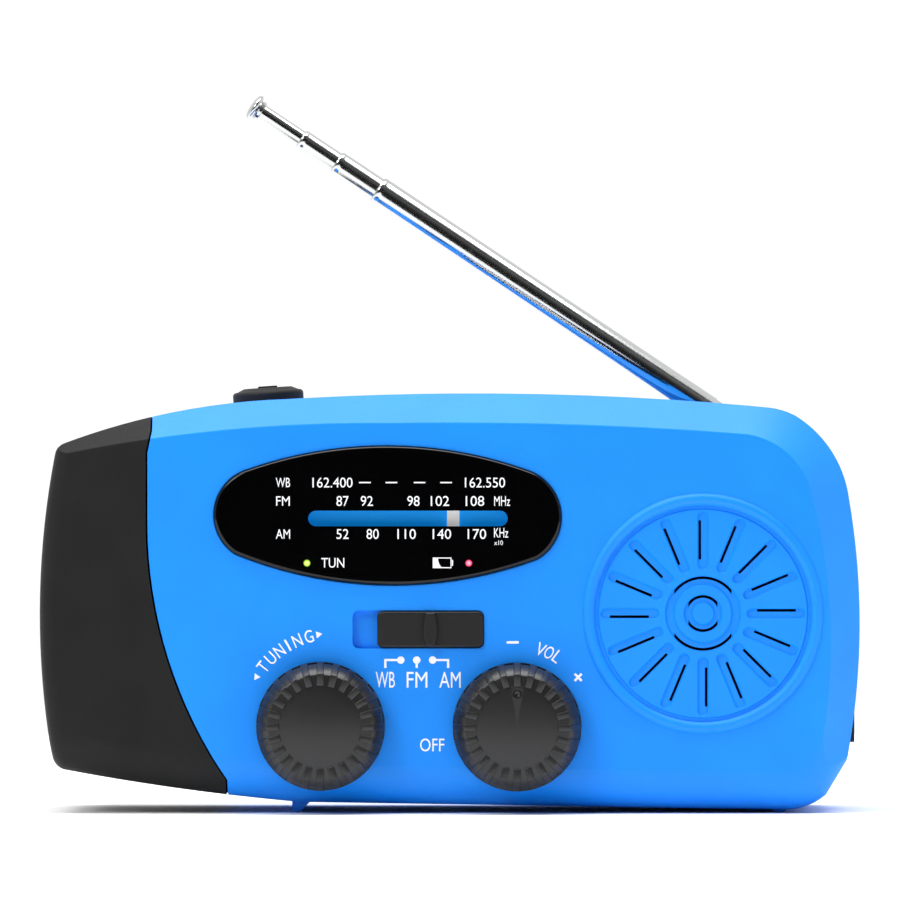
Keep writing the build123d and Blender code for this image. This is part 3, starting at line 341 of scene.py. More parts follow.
def plate(points, front, back):
    """A closed flat solid with this outline in x, z, between two depths in y."""
    count = len(points)
    form = bmesh.new()
    near = [form.verts.new((x, front, z)) for x, z in points]
    far = [form.verts.new((x, back, z)) for x, z in points]
    form.faces.new(near)
    form.faces.new(far[::-1])
    for i in range(count):
        form.faces.new((near[i], far[i], far[(i + 1) % count], near[(i + 1) % count]))
    bmesh.ops.recalc_face_normals(form, faces=form.faces)
    mesh = bpy.data.meshes.new("plate")
    form.to_mesh(mesh)
    form.free()
    return mesh


def stroke(x0, z0, x1, z1, width, surface, share=0.85):
    """A straight printed line, laid in a share of the full ink so that it can run into a shape."""
    along = Vector((x1 - x0, z1 - z0)).normalized() * width / 2
    side = Vector((-along.y, along.x))
    first, last = Vector((x0, z0)) - along, Vector((x1, z1)) + along
    corners = [tuple(corner) for corner in (first - side, last - side, last + side, first + side)]
    return plate(corners, surface - share * INK, surface)


def spot(x, z, radius, surface, corners=24, turn=0.0):
    """A printed dot, or a small regular shape."""
    angles = [turn + 2 * math.pi * k / corners for k in range(corners)]
    return plate([(x + radius * math.cos(a), z + radius * math.sin(a)) for a in angles],
                 surface - INK, surface)


def word(text, x, z, tall, surface, wide=None, turn=0.0):
    """Printed letters centred on a place, as tall and wide as asked, turned about their middle."""
    letters = bpy.data.curves.new("letters", "FONT")
    letters.body = text
    letters.resolution_u = 4
    letters.extrude = 0.5
    mesh = applied(linked("letters", letters))
    across = [v.co.x for v in mesh.vertices]
    up = [v.co.y for v in mesh.vertices]
    scale_up = tall / (max(up) - min(up))
    scale_across = wide / (max(across) - min(across)) if wide else 0.8 * scale_up
    middle = Matrix.Translation((-(max(across) + min(across)) / 2, -(max(up) + min(up)) / 2, -0.5))
    size = Matrix.Diagonal((scale_across, scale_up, INK, 1.0))
    stand = Matrix.Rotation(math.radians(90), 4, "X")
    mesh.transform(Matrix.Translation((x, surface - INK, z)) @ Matrix.Rotation(-turn, 4, "Y")
                   @ stand @ size @ middle)
    return mesh


def applied(holder):
    """The plain mesh of an object with its modifiers applied, or of its curve. The object is dropped."""
    made = bpy.data.meshes.new_from_object(holder.evaluated_get(bpy.context.evaluated_depsgraph_get()))
    bpy.data.objects.remove(holder)
    return made


def joined(name, meshes):
    """One mesh out of several, which are then dropped."""
    form = bmesh.new()
    for mesh in meshes:
        form.from_mesh(mesh)
        bpy.data.meshes.remove(mesh)
    whole = bpy.data.meshes.new(name)
    form.to_mesh(whole)
    form.free()
    return whole


ink = white_ink()
window_low, window_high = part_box("dial_window")
window_x, window_z = (window_low.x + window_high.x) / 2, (window_low.z + window_high.z) / 2
glass = window_low.y


def on_glass(text, right, up, tall=1.55, wide=None):
    """A word on the window, placed from its middle in millimetres."""
    return word(text, window_x + right * MM, window_z + up * MM, tall * MM, glass,
                wide=wide * MM if wide else None)


weather_row, fm_row, am_row, lamp_row = 5.1, 2.25, -2.85, -7.3
scale_marks = [on_glass("WB", -16.15, weather_row, 1.45, 2.2), on_glass("FM", -16.15, fm_row, 1.45, 2.1),
               on_glass("AM", -16.15, am_row, 1.45, 2.2)]
scale_marks += [on_glass("162.400", -8.5, weather_row, wide=6.2), on_glass("162.550", 15.05, weather_row,
                                                                           wide=6.2)]
scale_marks += [stroke(window_x + (x - 0.8) * MM, window_z + weather_row * MM, window_x + (x + 0.8) * MM,
                       window_z + weather_row * MM, 0.2 * MM, glass) for x in (-3.5, 0.6, 4.95, 9.05)]
scale_marks += [on_glass(text, x, fm_row, wide=0.95 * len(text)) for text, x in
                (("87", -6.95), ("92", -3.2), ("98", 4.0), ("102", 8.1), ("108", 13.5))]
scale_marks += [on_glass(text, x, am_row, wide=0.95 * len(text)) for text, x in
                (("52", -6.95), ("80", -2.3), ("110", 2.95), ("140", 8.4), ("170", 13.8))]
scale_marks += [on_glass("MHz", 17.7, fm_row, 1.5, 2.45), on_glass("KHz", 17.55, am_row + 0.2, 1.5, 2.2),
                on_glass("x10", 17.15, am_row - 1.35, 0.7, 1.35),
                on_glass("TUN", -8.45, lamp_row, 1.5, 3.55)]
# half-full battery sign: a frame, its contact, and a fill that falls away to the right
sign_low, sign_high = window_z + (lamp_row - 0.75) * MM, window_z + (lamp_row + 0.75) * MM
sign_left, sign_right = window_x + 7.05 * MM, window_x + 9.8 * MM
for z in (sign_low, sign_high):
    scale_marks.append(stroke(sign_left, z, sign_right, z, 0.14 * MM, glass, 0.7))
for x in (sign_left, sign_right):
    scale_marks.append(stroke(x, sign_low, x, sign_high, 0.14 * MM, glass))
scale_marks.append(stroke(sign_right + 0.22 * MM, sign_low + 0.4 * MM, sign_right + 0.22 * MM,
                          sign_high - 0.4 * MM, 0.2 * MM, glass))
fall = [(sign_left + (0.75 + 0.85 * (1 - math.cos(a))) * MM,
         sign_high - (sign_high - sign_low) * math.sin(a)) for a in (math.radians(15 * k) for k in range(7))]
scale_marks.append(plate([(sign_left, sign_high)] + fall + [(sign_left, sign_low)], glass - INK, glass))

scale_print = linked("scale_print", joined("scale_print", scale_marks))
scale_print.data.materials.append(ink)
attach(scale_print, "housing")

# ---- Band switch -----------------------------------------------------------------------------
# A black slider in a shallow recess, with a barrel-shaped ridge for the thumb, on a switch body
# soldered to its own small board. The legend under it ties each stop to its band.
black_abs = moulded_abs("black_abs", "#131212", "#0F0E0E", 0.42, 0.22 * MM, 0.012 * MM, gloss=0.35)
dress(black_abs, "band_slider")
dress(moulded_abs("phenolic", "#1B1512", "#130F0D", 0.6, 0.3 * MM, 0.02 * MM), "band_switch", "lamp_switch")

slider_low, slider_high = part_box("band_slider")
legend_x = (slider_low.x + slider_high.x) / 2 - 2.1 * MM
legend_z = slider_low.z - 1.95 * MM
stop_step = 2.46 * MM
drop_z = legend_z - 1.05 * MM
line = 0.34 * MM
legend = [spot(legend_x + k * stop_step, legend_z, 0.58 * MM, panel_y) for k in (-1, 0, 1)]
legend += [stroke(legend_x, legend_z, legend_x, drop_z, line, panel_y, 0.7)]
for side in (-1, 1):
    corner_x = legend_x + side * 4.85 * MM
    legend += [stroke(legend_x + side * stop_step, legend_z, corner_x, legend_z, line, panel_y),
               stroke(corner_x, legend_z, corner_x, drop_z, line, panel_y, 0.7)]
legend += [word(text, legend_x + x * MM, legend_z - 3.05 * MM, 2.45 * MM, panel_y, wide=wide * MM)
           for text, x, wide in (("WB", -4.85, 2.95), ("FM", 0.05, 3.2), ("AM", 5.15, 3.3))]

# ---- Knobs -----------------------------------------------------------------------------------
# Tuning and volume knobs in black ABS: a flat disc ringed by ribs that run on down the skirt to
# the rim, so that wet or gloved fingers hold. Each is pressed on a steel shaft.


def turned(profile, steps):
    """A closed body of revolution about the Y axis, from (radius, y) points that end on the axis."""
    form = bmesh.new()
    rings = []
    for radius, y in profile:
        if radius < 1e-9:
            rings.append([form.verts.new((0, y, 0))])
        else:
            rings.append([form.verts.new((radius * math.cos(2 * math.pi * k / steps), y,
                                          radius * math.sin(2 * math.pi * k / steps)))
                          for k in range(steps)])
    for first, second in zip(rings, rings[1:]):
        for k in range(steps):
            n = (k + 1) % steps
            corners = [first[k % len(first)], first[n % len(first)], second[n % len(second)],
                       second[k % len(second)]]
            form.faces.new(list(dict.fromkeys(corners)))
    bmesh.ops.recalc_face_normals(form, faces=form.faces)
    mesh = bpy.data.meshes.new("turned")
    form.to_mesh(mesh)
    form.free()
    return mesh


def softened(mesh, width, segments):
    """The mesh with its edges sharper than 30 degrees rounded, and smooth shading."""
    holder = linked("holder", mesh)
    bevel = holder.modifiers.new("bevel", "BEVEL")
    bevel.width, bevel.segments, bevel.limit_method = width, segments, "ANGLE"
    bevel.angle_limit = math.radians(30)
    return smooth(applied(holder), 50.0)


def smooth(mesh, angle):
    """Smooth shading except across edges sharper than an angle."""
    mesh.polygons.foreach_set("use_smooth", [True] * len(mesh.polygons))
    mesh.set_sharp_from_angle(angle=math.radians(angle))
    return mesh


def geometry_tree(name, inputs):
    """A geometry tree with its own geometry first and then these named inputs."""
    tree = bpy.data.node_groups.new(name, "GeometryNodeTree")
    tree.interface.new_socket("Geometry", in_out="OUTPUT", socket_type="NodeSocketGeometry")
    tree.interface.new_socket("Geometry", in_out="INPUT", socket_type="NodeSocketGeometry")
    for label, kind in inputs:
        tree.interface.new_socket(label, in_out="INPUT", socket_type=kind)
    return tree


def grown(mesh, tree, values):
    """The plain mesh that a geometry tree makes from a mesh, with these inputs."""
    holder = linked("holder", mesh)
    modifier = holder.modifiers.new("tree", "NODES")
    modifier.node_group = tree
    for item in tree.interface.items_tree:
        if item.in_out == "INPUT" and item.name in values:
            modifier[item.identifier] = values[item.name]
    return applied(holder)


ribs_tree = geometry_tree("ribs_round_a_knob", (("Rib", "NodeSocketObject"), ("Ribs", "NodeSocketInt"),
                                                ("Finish", "NodeSocketMaterial")))
given = add(ribs_tree, "NodeGroupInput")
places = add(ribs_tree, "GeometryNodePoints", {"Count": given.outputs["Ribs"]})
one_rib = add(ribs_tree, "GeometryNodeObjectInfo", {"Object": given.outputs["Rib"]})
index = add(ribs_tree, "GeometryNodeInputIndex")
turns = add(ribs_tree, "ShaderNodeMath", {0: index.outputs["Index"], 1: given.outputs["Ribs"]},
            operation="DIVIDE")
angle_of = add(ribs_tree, "ShaderNodeMath", {0: turns.outputs["Value"], 1: 2 * math.pi},
               operation="MULTIPLY")
turn_of = add(ribs_tree, "ShaderNodeCombineXYZ", {"Y": angle_of.outputs["Value"]})
ring = add(ribs_tree, "GeometryNodeInstanceOnPoints",
           {"Points": places.outputs[0], "Instance": one_rib.outputs["Geometry"],
            "Rotation": turn_of.outputs["Vector"]})
together = add(ribs_tree, "GeometryNodeJoinGeometry", {"Geometry": ring.outputs["Instances"]})
ribs_tree.links.new(given.outputs["Geometry"], together.inputs["Geometry"])
real = add(ribs_tree, "GeometryNodeRealizeInstances", {"Geometry": together.outputs["Geometry"]})
finished = add(ribs_tree, "GeometryNodeSetMaterial", {"Geometry": real.outputs["Geometry"],
                                                      "Material": given.outputs["Finish"]})
add(ribs_tree, "NodeGroupOutput", {"Geometry": finished.outputs["Geometry"]})

knob_abs = moulded_abs("black_knob_abs", "#1F1F1F", "#1B1A1A", 0.34, 0.2 * MM, 0.006 * MM, gloss=0.45)
for name in ("tuning", "volume"):
    low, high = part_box(name + "_knob")
    rim = (high.x - low.x) / 2
    top, base = low.y, high.y
    disc_y = top + 0.25 * MM           # flat face, just below the tops of the ribs
    edge_y = top + 2.2 * MM            # where the sloping shoulder turns down to the wall
    face = [(0, disc_y), (rim - 2.0 * MM, disc_y), (rim - 1.85 * MM, disc_y + 0.06 * MM),
            (rim - 0.35 * MM, edge_y), (rim - 0.3 * MM, edge_y + 0.3 * MM),
            (rim - 0.3 * MM, base - 0.7 * MM), (rim - 0.05 * MM, base - 0.7 * MM), (rim, base - 0.6 * MM),
            (rim, base), (0, base)]
    rib_root, rib_half = rim - 3.6 * MM, 0.55 * MM
    rib_side = [(rib_root, disc_y + 0.5 * MM), (rib_root, top), (rim - 1.72 * MM, top),
                (rim - 0.16 * MM, edge_y - 0.1 * MM), (rim - 0.06 * MM, edge_y + 0.3 * MM),
                (rim - 0.06 * MM, base - 0.4 * MM), (rib_root, base - 0.4 * MM)]
    rib = bmesh.new()
    sides = [[rib.verts.new((r, y, half)) for r, y in rib_side] for half in (-rib_half, rib_half)]
    rib.faces.new(sides[0])
    rib.faces.new(sides[1][::-1])
    for k in range(len(rib_side)):
        n = (k + 1) % len(rib_side)
        rib.faces.new((sides[0][n], sides[0][k], sides[1][k], sides[1][n]))
    bmesh.ops.recalc_face_normals(rib, faces=rib.faces)
    rib_mesh = bpy.data.meshes.new("rib")
    rib.to_mesh(rib_mesh)
    rib.free()
    rib_object = linked("rib", softened(rib_mesh, 0.14 * MM, 3))
    body = smooth(turned(face, 144), 35.0)
    if name == "volume":
        holder, ball = linked("body", body), bmesh.new()
        bmesh.ops.create_icosphere(ball, subdivisions=4, radius=0.75 * MM)
        ball_mesh = bpy.data.meshes.new("ball")
        ball.to_mesh(ball_mesh)
        ball.free()
        ball_object = linked("ball", ball_mesh)
        ball_object.location = (0, disc_y - 0.3 * MM, 5.2 * MM)
        cut = holder.modifiers.new("dimple", "BOOLEAN")
        cut.object, cut.operation, cut.solver = ball_object, "DIFFERENCE", "EXACT"
        body = applied(holder)
        bpy.data.objects.remove(ball_object)
    mesh = grown(body, ribs_tree, {"Rib": rib_object, "Ribs": 24, "Finish": knob_abs})
    bpy.data.objects.remove(rib_object)
    mesh.transform(Matrix.Translation(((low.x + high.x) / 2, 0, (low.z + high.z) / 2)))
    knob = linked(name + "_knob_ribbed", mesh)
    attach(knob, name if name == "volume" else "tuning")
    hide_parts(name + "_knob")

dress(zinc_steel, "tuning_shaft", "volume_shaft")
dress(moulded_abs("nylon_control", "#3A3F44", "#30343A", 0.5, 0.3 * MM, 0.01 * MM), "tuning_capacitor",
      "volume_control")

# words round the knobs, each letter standing on the circle and leaning a little with it
def on_arc(text, x, z, out, degrees, tall, wide, lean):
    """A letter on a circle round a knob's middle, with its sizes and distance in millimetres."""
    a = math.radians(degrees)
    return word(text, x + out * MM * math.cos(a), z + out * MM * math.sin(a), tall * MM, panel_y,
                wide=wide * MM, turn=math.radians(degrees - 90 + lean))


def tuning_out(degrees):
    """How far the tuning word stands from its knob, in millimetres: it opens a little clockwise."""
    return 12.5 + 0.033 * (142 - degrees)


(tuning_x, tuning_z), (volume_x, volume_z) = (
    ((low.x + high.x) / 2, (low.z + high.z) / 2)
    for low, high in map(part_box, ("tuning_knob", "volume_knob")))


for letter, degrees, wide in (("T", 134.2, 1.2), ("U", 126.2, 1.3), ("N", 118.6, 1.35), ("I", 112.0, 0.32),
                              ("N", 105.2, 1.35), ("G", 97.4, 1.3)):
    legend.append(on_arc(letter, tuning_x, tuning_z, tuning_out(degrees), degrees, 1.95, wide, 8.0))
for degrees, turn in ((142.4, 235.0), (91.4, 10.0)):
    a, out = math.radians(degrees), tuning_out(degrees) * MM
    legend.append(spot(tuning_x + out * math.cos(a), tuning_z + out * math.sin(a), 0.62 * MM, panel_y,
                       corners=3, turn=math.radians(turn)))
for letter, degrees, wide in (("V", 72.9, 1.35), ("O", 66.6, 1.3), ("L", 60.1, 1.0)):
    legend.append(on_arc(letter, volume_x, volume_z, 12.5, degrees, 2.0, wide, -7.0))
legend.append(stroke(volume_x - 1.4 * MM, volume_z + 13.05 * MM, volume_x + 0.1 * MM,
                     volume_z + 13.05 * MM, 0.38 * MM, panel_y))
more_x, more_z, arm = volume_x + 9.45 * MM, volume_z + 7.65 * MM, 0.42 * MM
for side in (-1, 1):
    legend.append(stroke(more_x - arm, more_z - side * arm, more_x + arm, more_z + side * arm, 0.36 * MM,
                         panel_y, 0.8 + 0.1 * side))
legend.append(word("OFF", volume_x - 13.1 * MM, volume_z - 2.8 * MM, 2.0 * MM, panel_y, wide=3.75 * MM))

panel_print = linked("panel_print", joined("panel_print", legend))
panel_print.data.materials.append(ink)
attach(panel_print, "housing")

# ---- Boards ----------------------------------------------------------------------------------
# Fibreglass boards under green solder mask carry the radio, charger and amplifier circuits, the
# band switch and the lamp's diodes. A ferrite rod with a copper winding is the AM aerial.


def masked_board():
    """Glass-epoxy laminate with copper tracks standing faintly through glossy green lacquer."""
    track = 1.27 * MM                  # half the usual pin spacing
    material = finish_named("solder_masked_board")
    tree = material.node_tree
    place = add(tree, "ShaderNodeTexCoord")
    turned_map = add(tree, "ShaderNodeMapping", {"Vector": place.outputs["Object"],
                                                 "Rotation": (math.radians(90), 0, 0)})
    tracks = add(tree, "ShaderNodeTexBrick", {"Vector": turned_map.outputs["Vector"],
                                              "Color1": linear("#0E5A2A"), "Color2": linear("#116A32"),
                                              "Mortar": linear("#0A4420"), "Scale": 1.0,
                                              "Mortar Size": 0.15 * track, "Brick Width": 6 * track,
                                              "Row Height": track})
    bump = add(tree, "ShaderNodeBump", {"Height": tracks.outputs["Fac"], "Strength": 0.4,
                                        "Distance": 0.03 * MM}, invert=True)
    shader = add(tree, "ShaderNodeBsdfPrincipled",
                 {"Base Color": tracks.outputs["Color"], "Roughness": 0.28, "IOR": 1.5,
                  "Normal": bump.outputs["Normal"]})
    add(tree, "ShaderNodeOutputMaterial", {"Surface": shader.outputs["BSDF"]})
    return material


def banded(name, colour, painted_groove_shade, spacing, axis, metallic, roughness):
    """Closely wound or finely ribbed: bands across an axis, with painted shade in the grooves."""
    material = finish_named(name)
    tree = material.node_tree
    place = add(tree, "ShaderNodeTexCoord")
    bands_of = add(tree, "ShaderNodeTexWave", {"Vector": place.outputs["Object"],
                                               "Scale": math.pi / 10 / spacing},
                   wave_type="BANDS", bands_direction=axis, wave_profile="SIN")
    # painted shade: the darker colour lies in the grooves between the turns
    tint = add(tree, "ShaderNodeMix", {"Factor": bands_of.outputs["Fac"], "A": linear(painted_groove_shade),
                                       "B": linear(colour)}, data_type="RGBA")
    bump = add(tree, "ShaderNodeBump", {"Height": bands_of.outputs["Fac"], "Strength": 0.8,
                                        "Distance": spacing / 2})
    shader = add(tree, "ShaderNodeBsdfPrincipled",
                 {"Base Color": tint.outputs["Result"], "Metallic": metallic, "Roughness": roughness,
                  "Normal": bump.outputs["Normal"]})
    add(tree, "ShaderNodeOutputMaterial", {"Surface": shader.outputs["BSDF"]})
    return material


dress(masked_board(), "main_board", "switch_board", "lamp_board")
dress(moulded_abs("chip_epoxy", "#18181A", "#101012", 0.55, 0.12 * MM, 0.01 * MM), "board_chips")
dress(moulded_abs("sintered_ferrite", "#2E2D30", "#232226", 0.7, 0.4 * MM, 0.05 * MM), "ferrite_rod")
# the second colour is painted shade between the turns of the winding
dress(banded("enamelled_copper", "#B4602E", "#5A2810", 0.25 * MM, "X", 1.0, 0.3), "rod_coil")
dress(moulded_abs("shrink_wrap", "#1D4F8C", "#17427A", 0.3, 3 * MM, 0.05 * MM), "battery_cell")
dress(plated_steel("tinned_steel", "#D4D4D2", 0.25, 1.2 * MM), "usb_a_port", "micro_usb_port")

# ---- Rear screws -----------------------------------------------------------------------------
# Four pan-head screws draw the rear shell to posts in the front one from the bottom of deep
# holes; three shorter ones hold the main board. Zinc-plated steel with a cross recess.
screw_tree = geometry_tree("screws_on_points", (
    ("Head Radius", "NodeSocketFloat"), ("Head Height", "NodeSocketFloat"),
    ("Shank Radius", "NodeSocketFloat"), ("Shank Length", "NodeSocketFloat"),
    ("Recess Width", "NodeSocketFloat"), ("Seed", "NodeSocketInt"), ("Finish", "NodeSocketMaterial")))
given = add(screw_tree, "NodeGroupInput")
half_head = add(screw_tree, "ShaderNodeMath", {0: given.outputs["Head Height"], 1: 0.5},
                operation="MULTIPLY")
head_at = add(screw_tree, "ShaderNodeCombineXYZ", {"Z": half_head.outputs["Value"]})
half_shank = add(screw_tree, "ShaderNodeMath", {0: given.outputs["Shank Length"], 1: -0.5},
                 operation="MULTIPLY")
shank_at = add(screw_tree, "ShaderNodeCombineXYZ", {"Z": half_shank.outputs["Value"]})
head = add(screw_tree, "GeometryNodeMeshCylinder", {"Vertices": 40, "Radius": given.outputs["Head Radius"],
                                                    "Depth": given.outputs["Head Height"]})
head_up = add(screw_tree, "GeometryNodeTransform", {"Geometry": head.outputs["Mesh"],
                                                    "Translation": head_at.outputs["Vector"]})
shank = add(screw_tree, "GeometryNodeMeshCylinder", {"Vertices": 24, "Radius": given.outputs["Shank Radius"],
                                                     "Depth": given.outputs["Shank Length"]})
shank_down = add(screw_tree, "GeometryNodeTransform", {"Geometry": shank.outputs["Mesh"],
                                                       "Translation": shank_at.outputs["Vector"]})
recess_top = add(screw_tree, "ShaderNodeCombineXYZ", {"Z": given.outputs["Head Height"]})
wings = []
for across, along_wing in (("X", "Y"), ("Y", "X")):
    long_side = add(screw_tree, "ShaderNodeMath", {0: given.outputs["Head Radius"], 1: 1.15},
                    operation="MULTIPLY")
    size = add(screw_tree, "ShaderNodeCombineXYZ", {across: given.outputs["Recess Width"],
                                                    along_wing: long_side.outputs["Value"],
                                                    "Z": given.outputs["Head Height"]})
    wing = add(screw_tree, "GeometryNodeMeshCube", {"Size": size.outputs["Vector"]})
    wings.append(add(screw_tree, "GeometryNodeTransform", {"Geometry": wing.outputs["Mesh"],
                                                           "Translation": recess_top.outputs["Vector"]}))
recessed = add(screw_tree, "GeometryNodeMeshBoolean", {"Mesh 1": head_up.outputs["Geometry"]},
               operation="DIFFERENCE")
for wing in wings:
    screw_tree.links.new(wing.outputs["Geometry"], recessed.inputs["Mesh 2"])
screw_form = add(screw_tree, "GeometryNodeJoinGeometry", {"Geometry": recessed.outputs["Mesh"]})
screw_tree.links.new(shank_down.outputs["Geometry"], screw_form.inputs["Geometry"])
quarter = add(screw_tree, "FunctionNodeRandomValue", {"Seed": given.outputs["Seed"]}, data_type="FLOAT")
quarter.inputs[3].default_value = math.pi / 2
head_back = add(screw_tree, "ShaderNodeCombineXYZ", {"X": -math.pi / 2, "Y": quarter.outputs[1]})
set_out = add(screw_tree, "GeometryNodeInstanceOnPoints", {"Points": given.outputs["Geometry"],
                                                           "Instance": screw_form.outputs["Geometry"],
                                                           "Rotation": head_back.outputs["Vector"]})
real = add(screw_tree, "GeometryNodeRealizeInstances", {"Geometry": set_out.outputs["Instances"]})
finished = add(screw_tree, "GeometryNodeSetMaterial", {"Geometry": real.outputs["Geometry"],
                                                       "Material": given.outputs["Finish"]})
add(screw_tree, "NodeGroupOutput", {"Geometry": finished.outputs["Geometry"]})


def island_boxes(node):
    """The corners of each separate solid in a CAD node, by joining triangles that share a place."""
    form = bmesh.new()
    form.from_mesh(frame["nodes"][node].data)
    bmesh.ops.remove_doubles(form, verts=form.verts, dist=1e-7)
    left, boxes = set(form.verts), []
    while left:
        island, edge = set(), [left.pop()]
        while edge:
            vert = edge.pop()
            island.add(vert)
            near = {e.other_vert(vert) for e in vert.link_edges} & left
            left -= near
            edge += near
        points = [v.co.copy() for v in island]
        boxes.append((Vector(map(min, *points)), Vector(map(max, *points))))
    form.free()
    return boxes


for node, head_high, piece_name in (("case_screws", 1.6 * MM, "rear_shell_screws"),
                                    ("board_screws", 1.2 * MM, "main_board_screws")):
    boxes = island_boxes(node)
    head_r = (boxes[0][1].x - boxes[0][0].x) / 2
    seats = [((low.x + high.x) / 2, high.y - head_high, (low.z + high.z) / 2) for low, high in boxes]
    points = bpy.data.meshes.new("seats")
    points.from_pydata(seats, [], [])
    mesh = grown(points, screw_tree, {
        "Head Radius": head_r, "Head Height": head_high, "Shank Radius": 0.43 * head_r,
        "Shank Length": boxes[0][1].y - boxes[0][0].y - head_high, "Recess Width": 0.28 * head_r, "Seed": 7,
        "Finish": zinc_steel})
    screws = linked(piece_name, smooth(mesh, 35.0))
    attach(screws, "housing")
    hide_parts(node)

# ---- Crank and generator ---------------------------------------------------------------------
# The folding crank sits in a round well in the back: black ABS arm and grip on a steel shaft.
# Acetal gears step its turns up to the rotor of a small generator in a steel can.
dress(black_abs, "crank_arm", "crank_handle")
dress(zinc_steel, "crank_screw", "crank_shaft", "crank_hinge", "lay_axle", "gearbox_plate",
      "generator_housing", "generator_rotor")
dress(moulded_abs("acetal", "#E6E2D6", "#DCD7C8", 0.4, 0.5 * MM, 0.01 * MM), "drive_gear", "lay_gear",
      "tuning_gear")

# ---- Aerial ----------------------------------------------------------------------------------
# Four brass tubes drawn to slide in each other, with rolled mouths, chromed and polished. The
# solid root turns on a pin through the swivel, and the last tube ends in a domed button.


def polished_chrome():
    """Bright chromium over nickel: mirror sheen, drawn out a little along the tubes."""
    streak = 0.8 * MM
    material = finish_named("polished_chrome")
    tree = material.node_tree
    place = add(tree, "ShaderNodeTexCoord")
    haze = add(tree, "ShaderNodeTexNoise", {"Vector": place.outputs["Object"], "Scale": 1 / streak,
                                            "Detail": 3.0})
    dull = add(tree, "ShaderNodeMapRange", {"Value": haze.outputs["Fac"], "From Min": 0.3, "From Max": 0.7,
                                            "To Min": 0.13, "To Max": 0.18})
    shader = add(tree, "ShaderNodeBsdfPrincipled",
                 {"Base Color": linear("#C3C4C4"), "Metallic": 1.0, "Roughness": dull.outputs["Result"]})
    add(tree, "ShaderNodeOutputMaterial", {"Surface": shader.outputs["BSDF"]})
    return material


chrome = polished_chrome()
dress(chrome, "aerial_swivel", "aerial_fork", "aerial_pin")
outward = Vector(next(j for j in frame["joints"] if j["name"] == "aerial_slide_2")["axis"]).normalized()


def tube_line(node):
    """Where a tube starts, how long it is and its radius, from its box."""
    low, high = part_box(node)
    radius = (high.y - low.y) / 2
    half = ((high.x - low.x) / 2 - radius * abs(outward.z)) / abs(outward.x)
    return (low + high) / 2 - outward * half, 2 * half, radius


def laid_along(mesh, start):
    """Turns a body made about Y so that it runs from a start along the aerial."""
    mesh.transform(Matrix.Translation(start) @ Vector((0, 1, 0)).rotation_difference(outward).to_matrix()
                   .to_4x4())
    return mesh


tubes = [tube_line(f"aerial_section_{k}") for k in (1, 2, 3, 4)]
slip, roll = 0.03 * MM, 0.55 * MM       # between two tubes, and the length of a rolled mouth
for k, (start, length, radius) in enumerate(tubes, 1):
    inner = tubes[k][2] + slip if k < 4 else 0.0
    if k < 4:
        quarter_turn = [math.radians(10 * step) for step in range(1, 10)]
        mouth = [(inner + (radius - inner) * math.cos(a), length - roll + roll * math.sin(a))
                 for a in quarter_turn]
        profile = ([(inner, length - 3 * roll), (inner, 0.0), (radius, 0.0), (radius, length - 2.2 * roll),
                    (radius - 0.05 * MM, length - 1.8 * roll), (radius, length - 1.3 * roll),
                    (radius, length - roll)] + mouth + [(inner, length - 3 * roll)])
    else:
        profile = [(0, 0.0), (radius, 0.0), (radius, length), (0, length)]
    tube = linked(f"aerial_tube_{k}", laid_along(smooth(turned(profile, 64), 40.0), start))
    tube.data.materials.append(chrome)
    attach(tube, f"aerial_{k}")
    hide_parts(f"aerial_section_{k}")

# domed button on the thinnest tube, over a narrow neck
start, length, radius = tubes[3]
button_low, button_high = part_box("aerial_tip")
cap_r = (button_high.y - button_low.y) / 2
rise = 2.4 * MM
dome = [(0, 0), (radius, 0), (radius, 0.12 * rise), (1.25 * radius, 0.16 * rise),
        (1.3 * radius, 0.34 * rise), (1.12 * radius, 0.44 * rise), (0.8 * cap_r, 0.5 * rise),
        (0.97 * cap_r, 0.58 * rise), (cap_r, 0.66 * rise)]
dome += [(cap_r * math.cos(a) ** 0.7, (0.66 + 0.34 * math.sin(a)) * rise)
         for a in (math.radians(9 * k) for k in range(1, 10))] + [(0, rise)]
tip = linked("aerial_button", laid_along(smooth(turned(dome, 64), 50.0), start + outward * length))
tip.data.materials.append(chrome)
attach(tip, "aerial_4")
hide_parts("aerial_tip")

# ---- Lamp end --------------------------------------------------------------------------------
# A black ABS cap closes the left end round a clear polycarbonate lens. Behind it are a reflector,
# metallised in vacuum, and three white diodes on their board. A rubber button works the switch.


def clear_polycarbonate(name, roughness):
    """Water-clear polycarbonate with flow haze too faint to see but in the highlights."""
    material = finish_named(name)
    tree = material.node_tree
    place = add(tree, "ShaderNodeTexCoord")
    haze = add(tree, "ShaderNodeTexNoise", {"Vector": place.outputs["Object"], "Scale": 1 / (1.2 * MM)})
    dull = add(tree, "ShaderNodeMapRange", {"Value": haze.outputs["Fac"], "To Min": roughness,
                                            "To Max": roughness + 0.05})
    shader = add(tree, "ShaderNodeBsdfPrincipled",
                 {"Base Color": linear("#F4F8FA"), "Transmission Weight": 1.0, "IOR": 1.585,
                  "Roughness": dull.outputs["Result"]})
    add(tree, "ShaderNodeOutputMaterial", {"Surface": shader.outputs["BSDF"]})
    return material


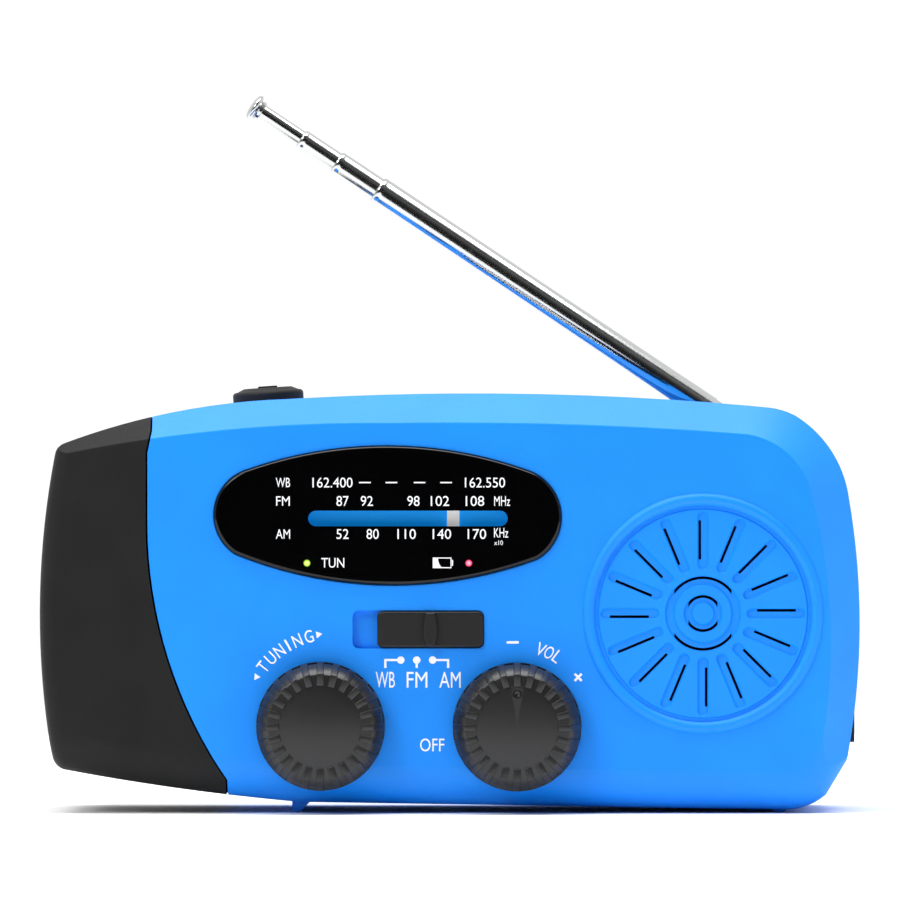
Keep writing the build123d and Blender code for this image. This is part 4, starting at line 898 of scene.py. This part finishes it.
dress(moulded_abs("black_cap_abs", "#212121", "#1C1C1C", 0.52, 0.25 * MM, 0.018 * MM, gloss=0.12),
      "lamp_housing")
dress(clear_polycarbonate("clear_polycarbonate", 0.03), "lamp_lens")
dress(plated_steel("vacuum_metallised", "#E2E4E6", 0.12, 4 * MM), "lamp_reflector")
dress(moulded_abs("diode_epoxy", "#F4F1D8", "#EFE8B8", 0.15, 2 * MM, 0.005 * MM), "lamp_leds")
dress(moulded_abs("black_rubber", "#232323", "#1C1C1C", 0.62, 0.3 * MM, 0.03 * MM, gloss=0.2),
      "lamp_button", "port_cover")

# ---- Solar cell ------------------------------------------------------------------------------
# A monocrystalline cell under a clear cover set in the top: blue-black silicon scribed into
# strips, with silver fingers printed on it.


def silicon_cell():
    """Blue-black silicon under printed silver: fine fingers across, dark scribed gaps between strips."""
    strip, finger = 6.5 * MM, 1.3 * MM
    material = finish_named("monocrystalline_silicon")
    tree = material.node_tree
    place = add(tree, "ShaderNodeTexCoord")
    strips = add(tree, "ShaderNodeTexBrick", {"Vector": place.outputs["Object"], "Color1": linear("#0B1226"),
                                              "Color2": linear("#0D162E"), "Mortar": linear("#04060C"),
                                              "Scale": 1.0, "Mortar Size": 0.18 * MM, "Brick Width": strip,
                                              "Row Height": 100 * MM}, offset=0.0)
    split = add(tree, "ShaderNodeSeparateXYZ", {"Vector": place.outputs["Object"]})
    across = add(tree, "ShaderNodeMath", {0: split.outputs["Y"], 1: finger}, operation="PINGPONG")
    on_finger = add(tree, "ShaderNodeMath", {0: across.outputs["Value"], 1: 0.07 * MM},
                    operation="LESS_THAN")
    tint = add(tree, "ShaderNodeMix", {"Factor": on_finger.outputs["Value"], "A": strips.outputs["Color"],
                                       "B": linear("#9AA0A6")}, data_type="RGBA")
    shader = add(tree, "ShaderNodeBsdfPrincipled", {"Base Color": tint.outputs["Result"], "Roughness": 0.25,
                                                    "Metallic": on_finger.outputs["Value"],
                                                    "Specular IOR Level": 0.6})
    add(tree, "ShaderNodeOutputMaterial", {"Surface": shader.outputs["BSDF"]})
    return material


dress(silicon_cell(), "solar_cell")
dress(clear_polycarbonate("cover_polycarbonate", 0.02), "solar_cover")
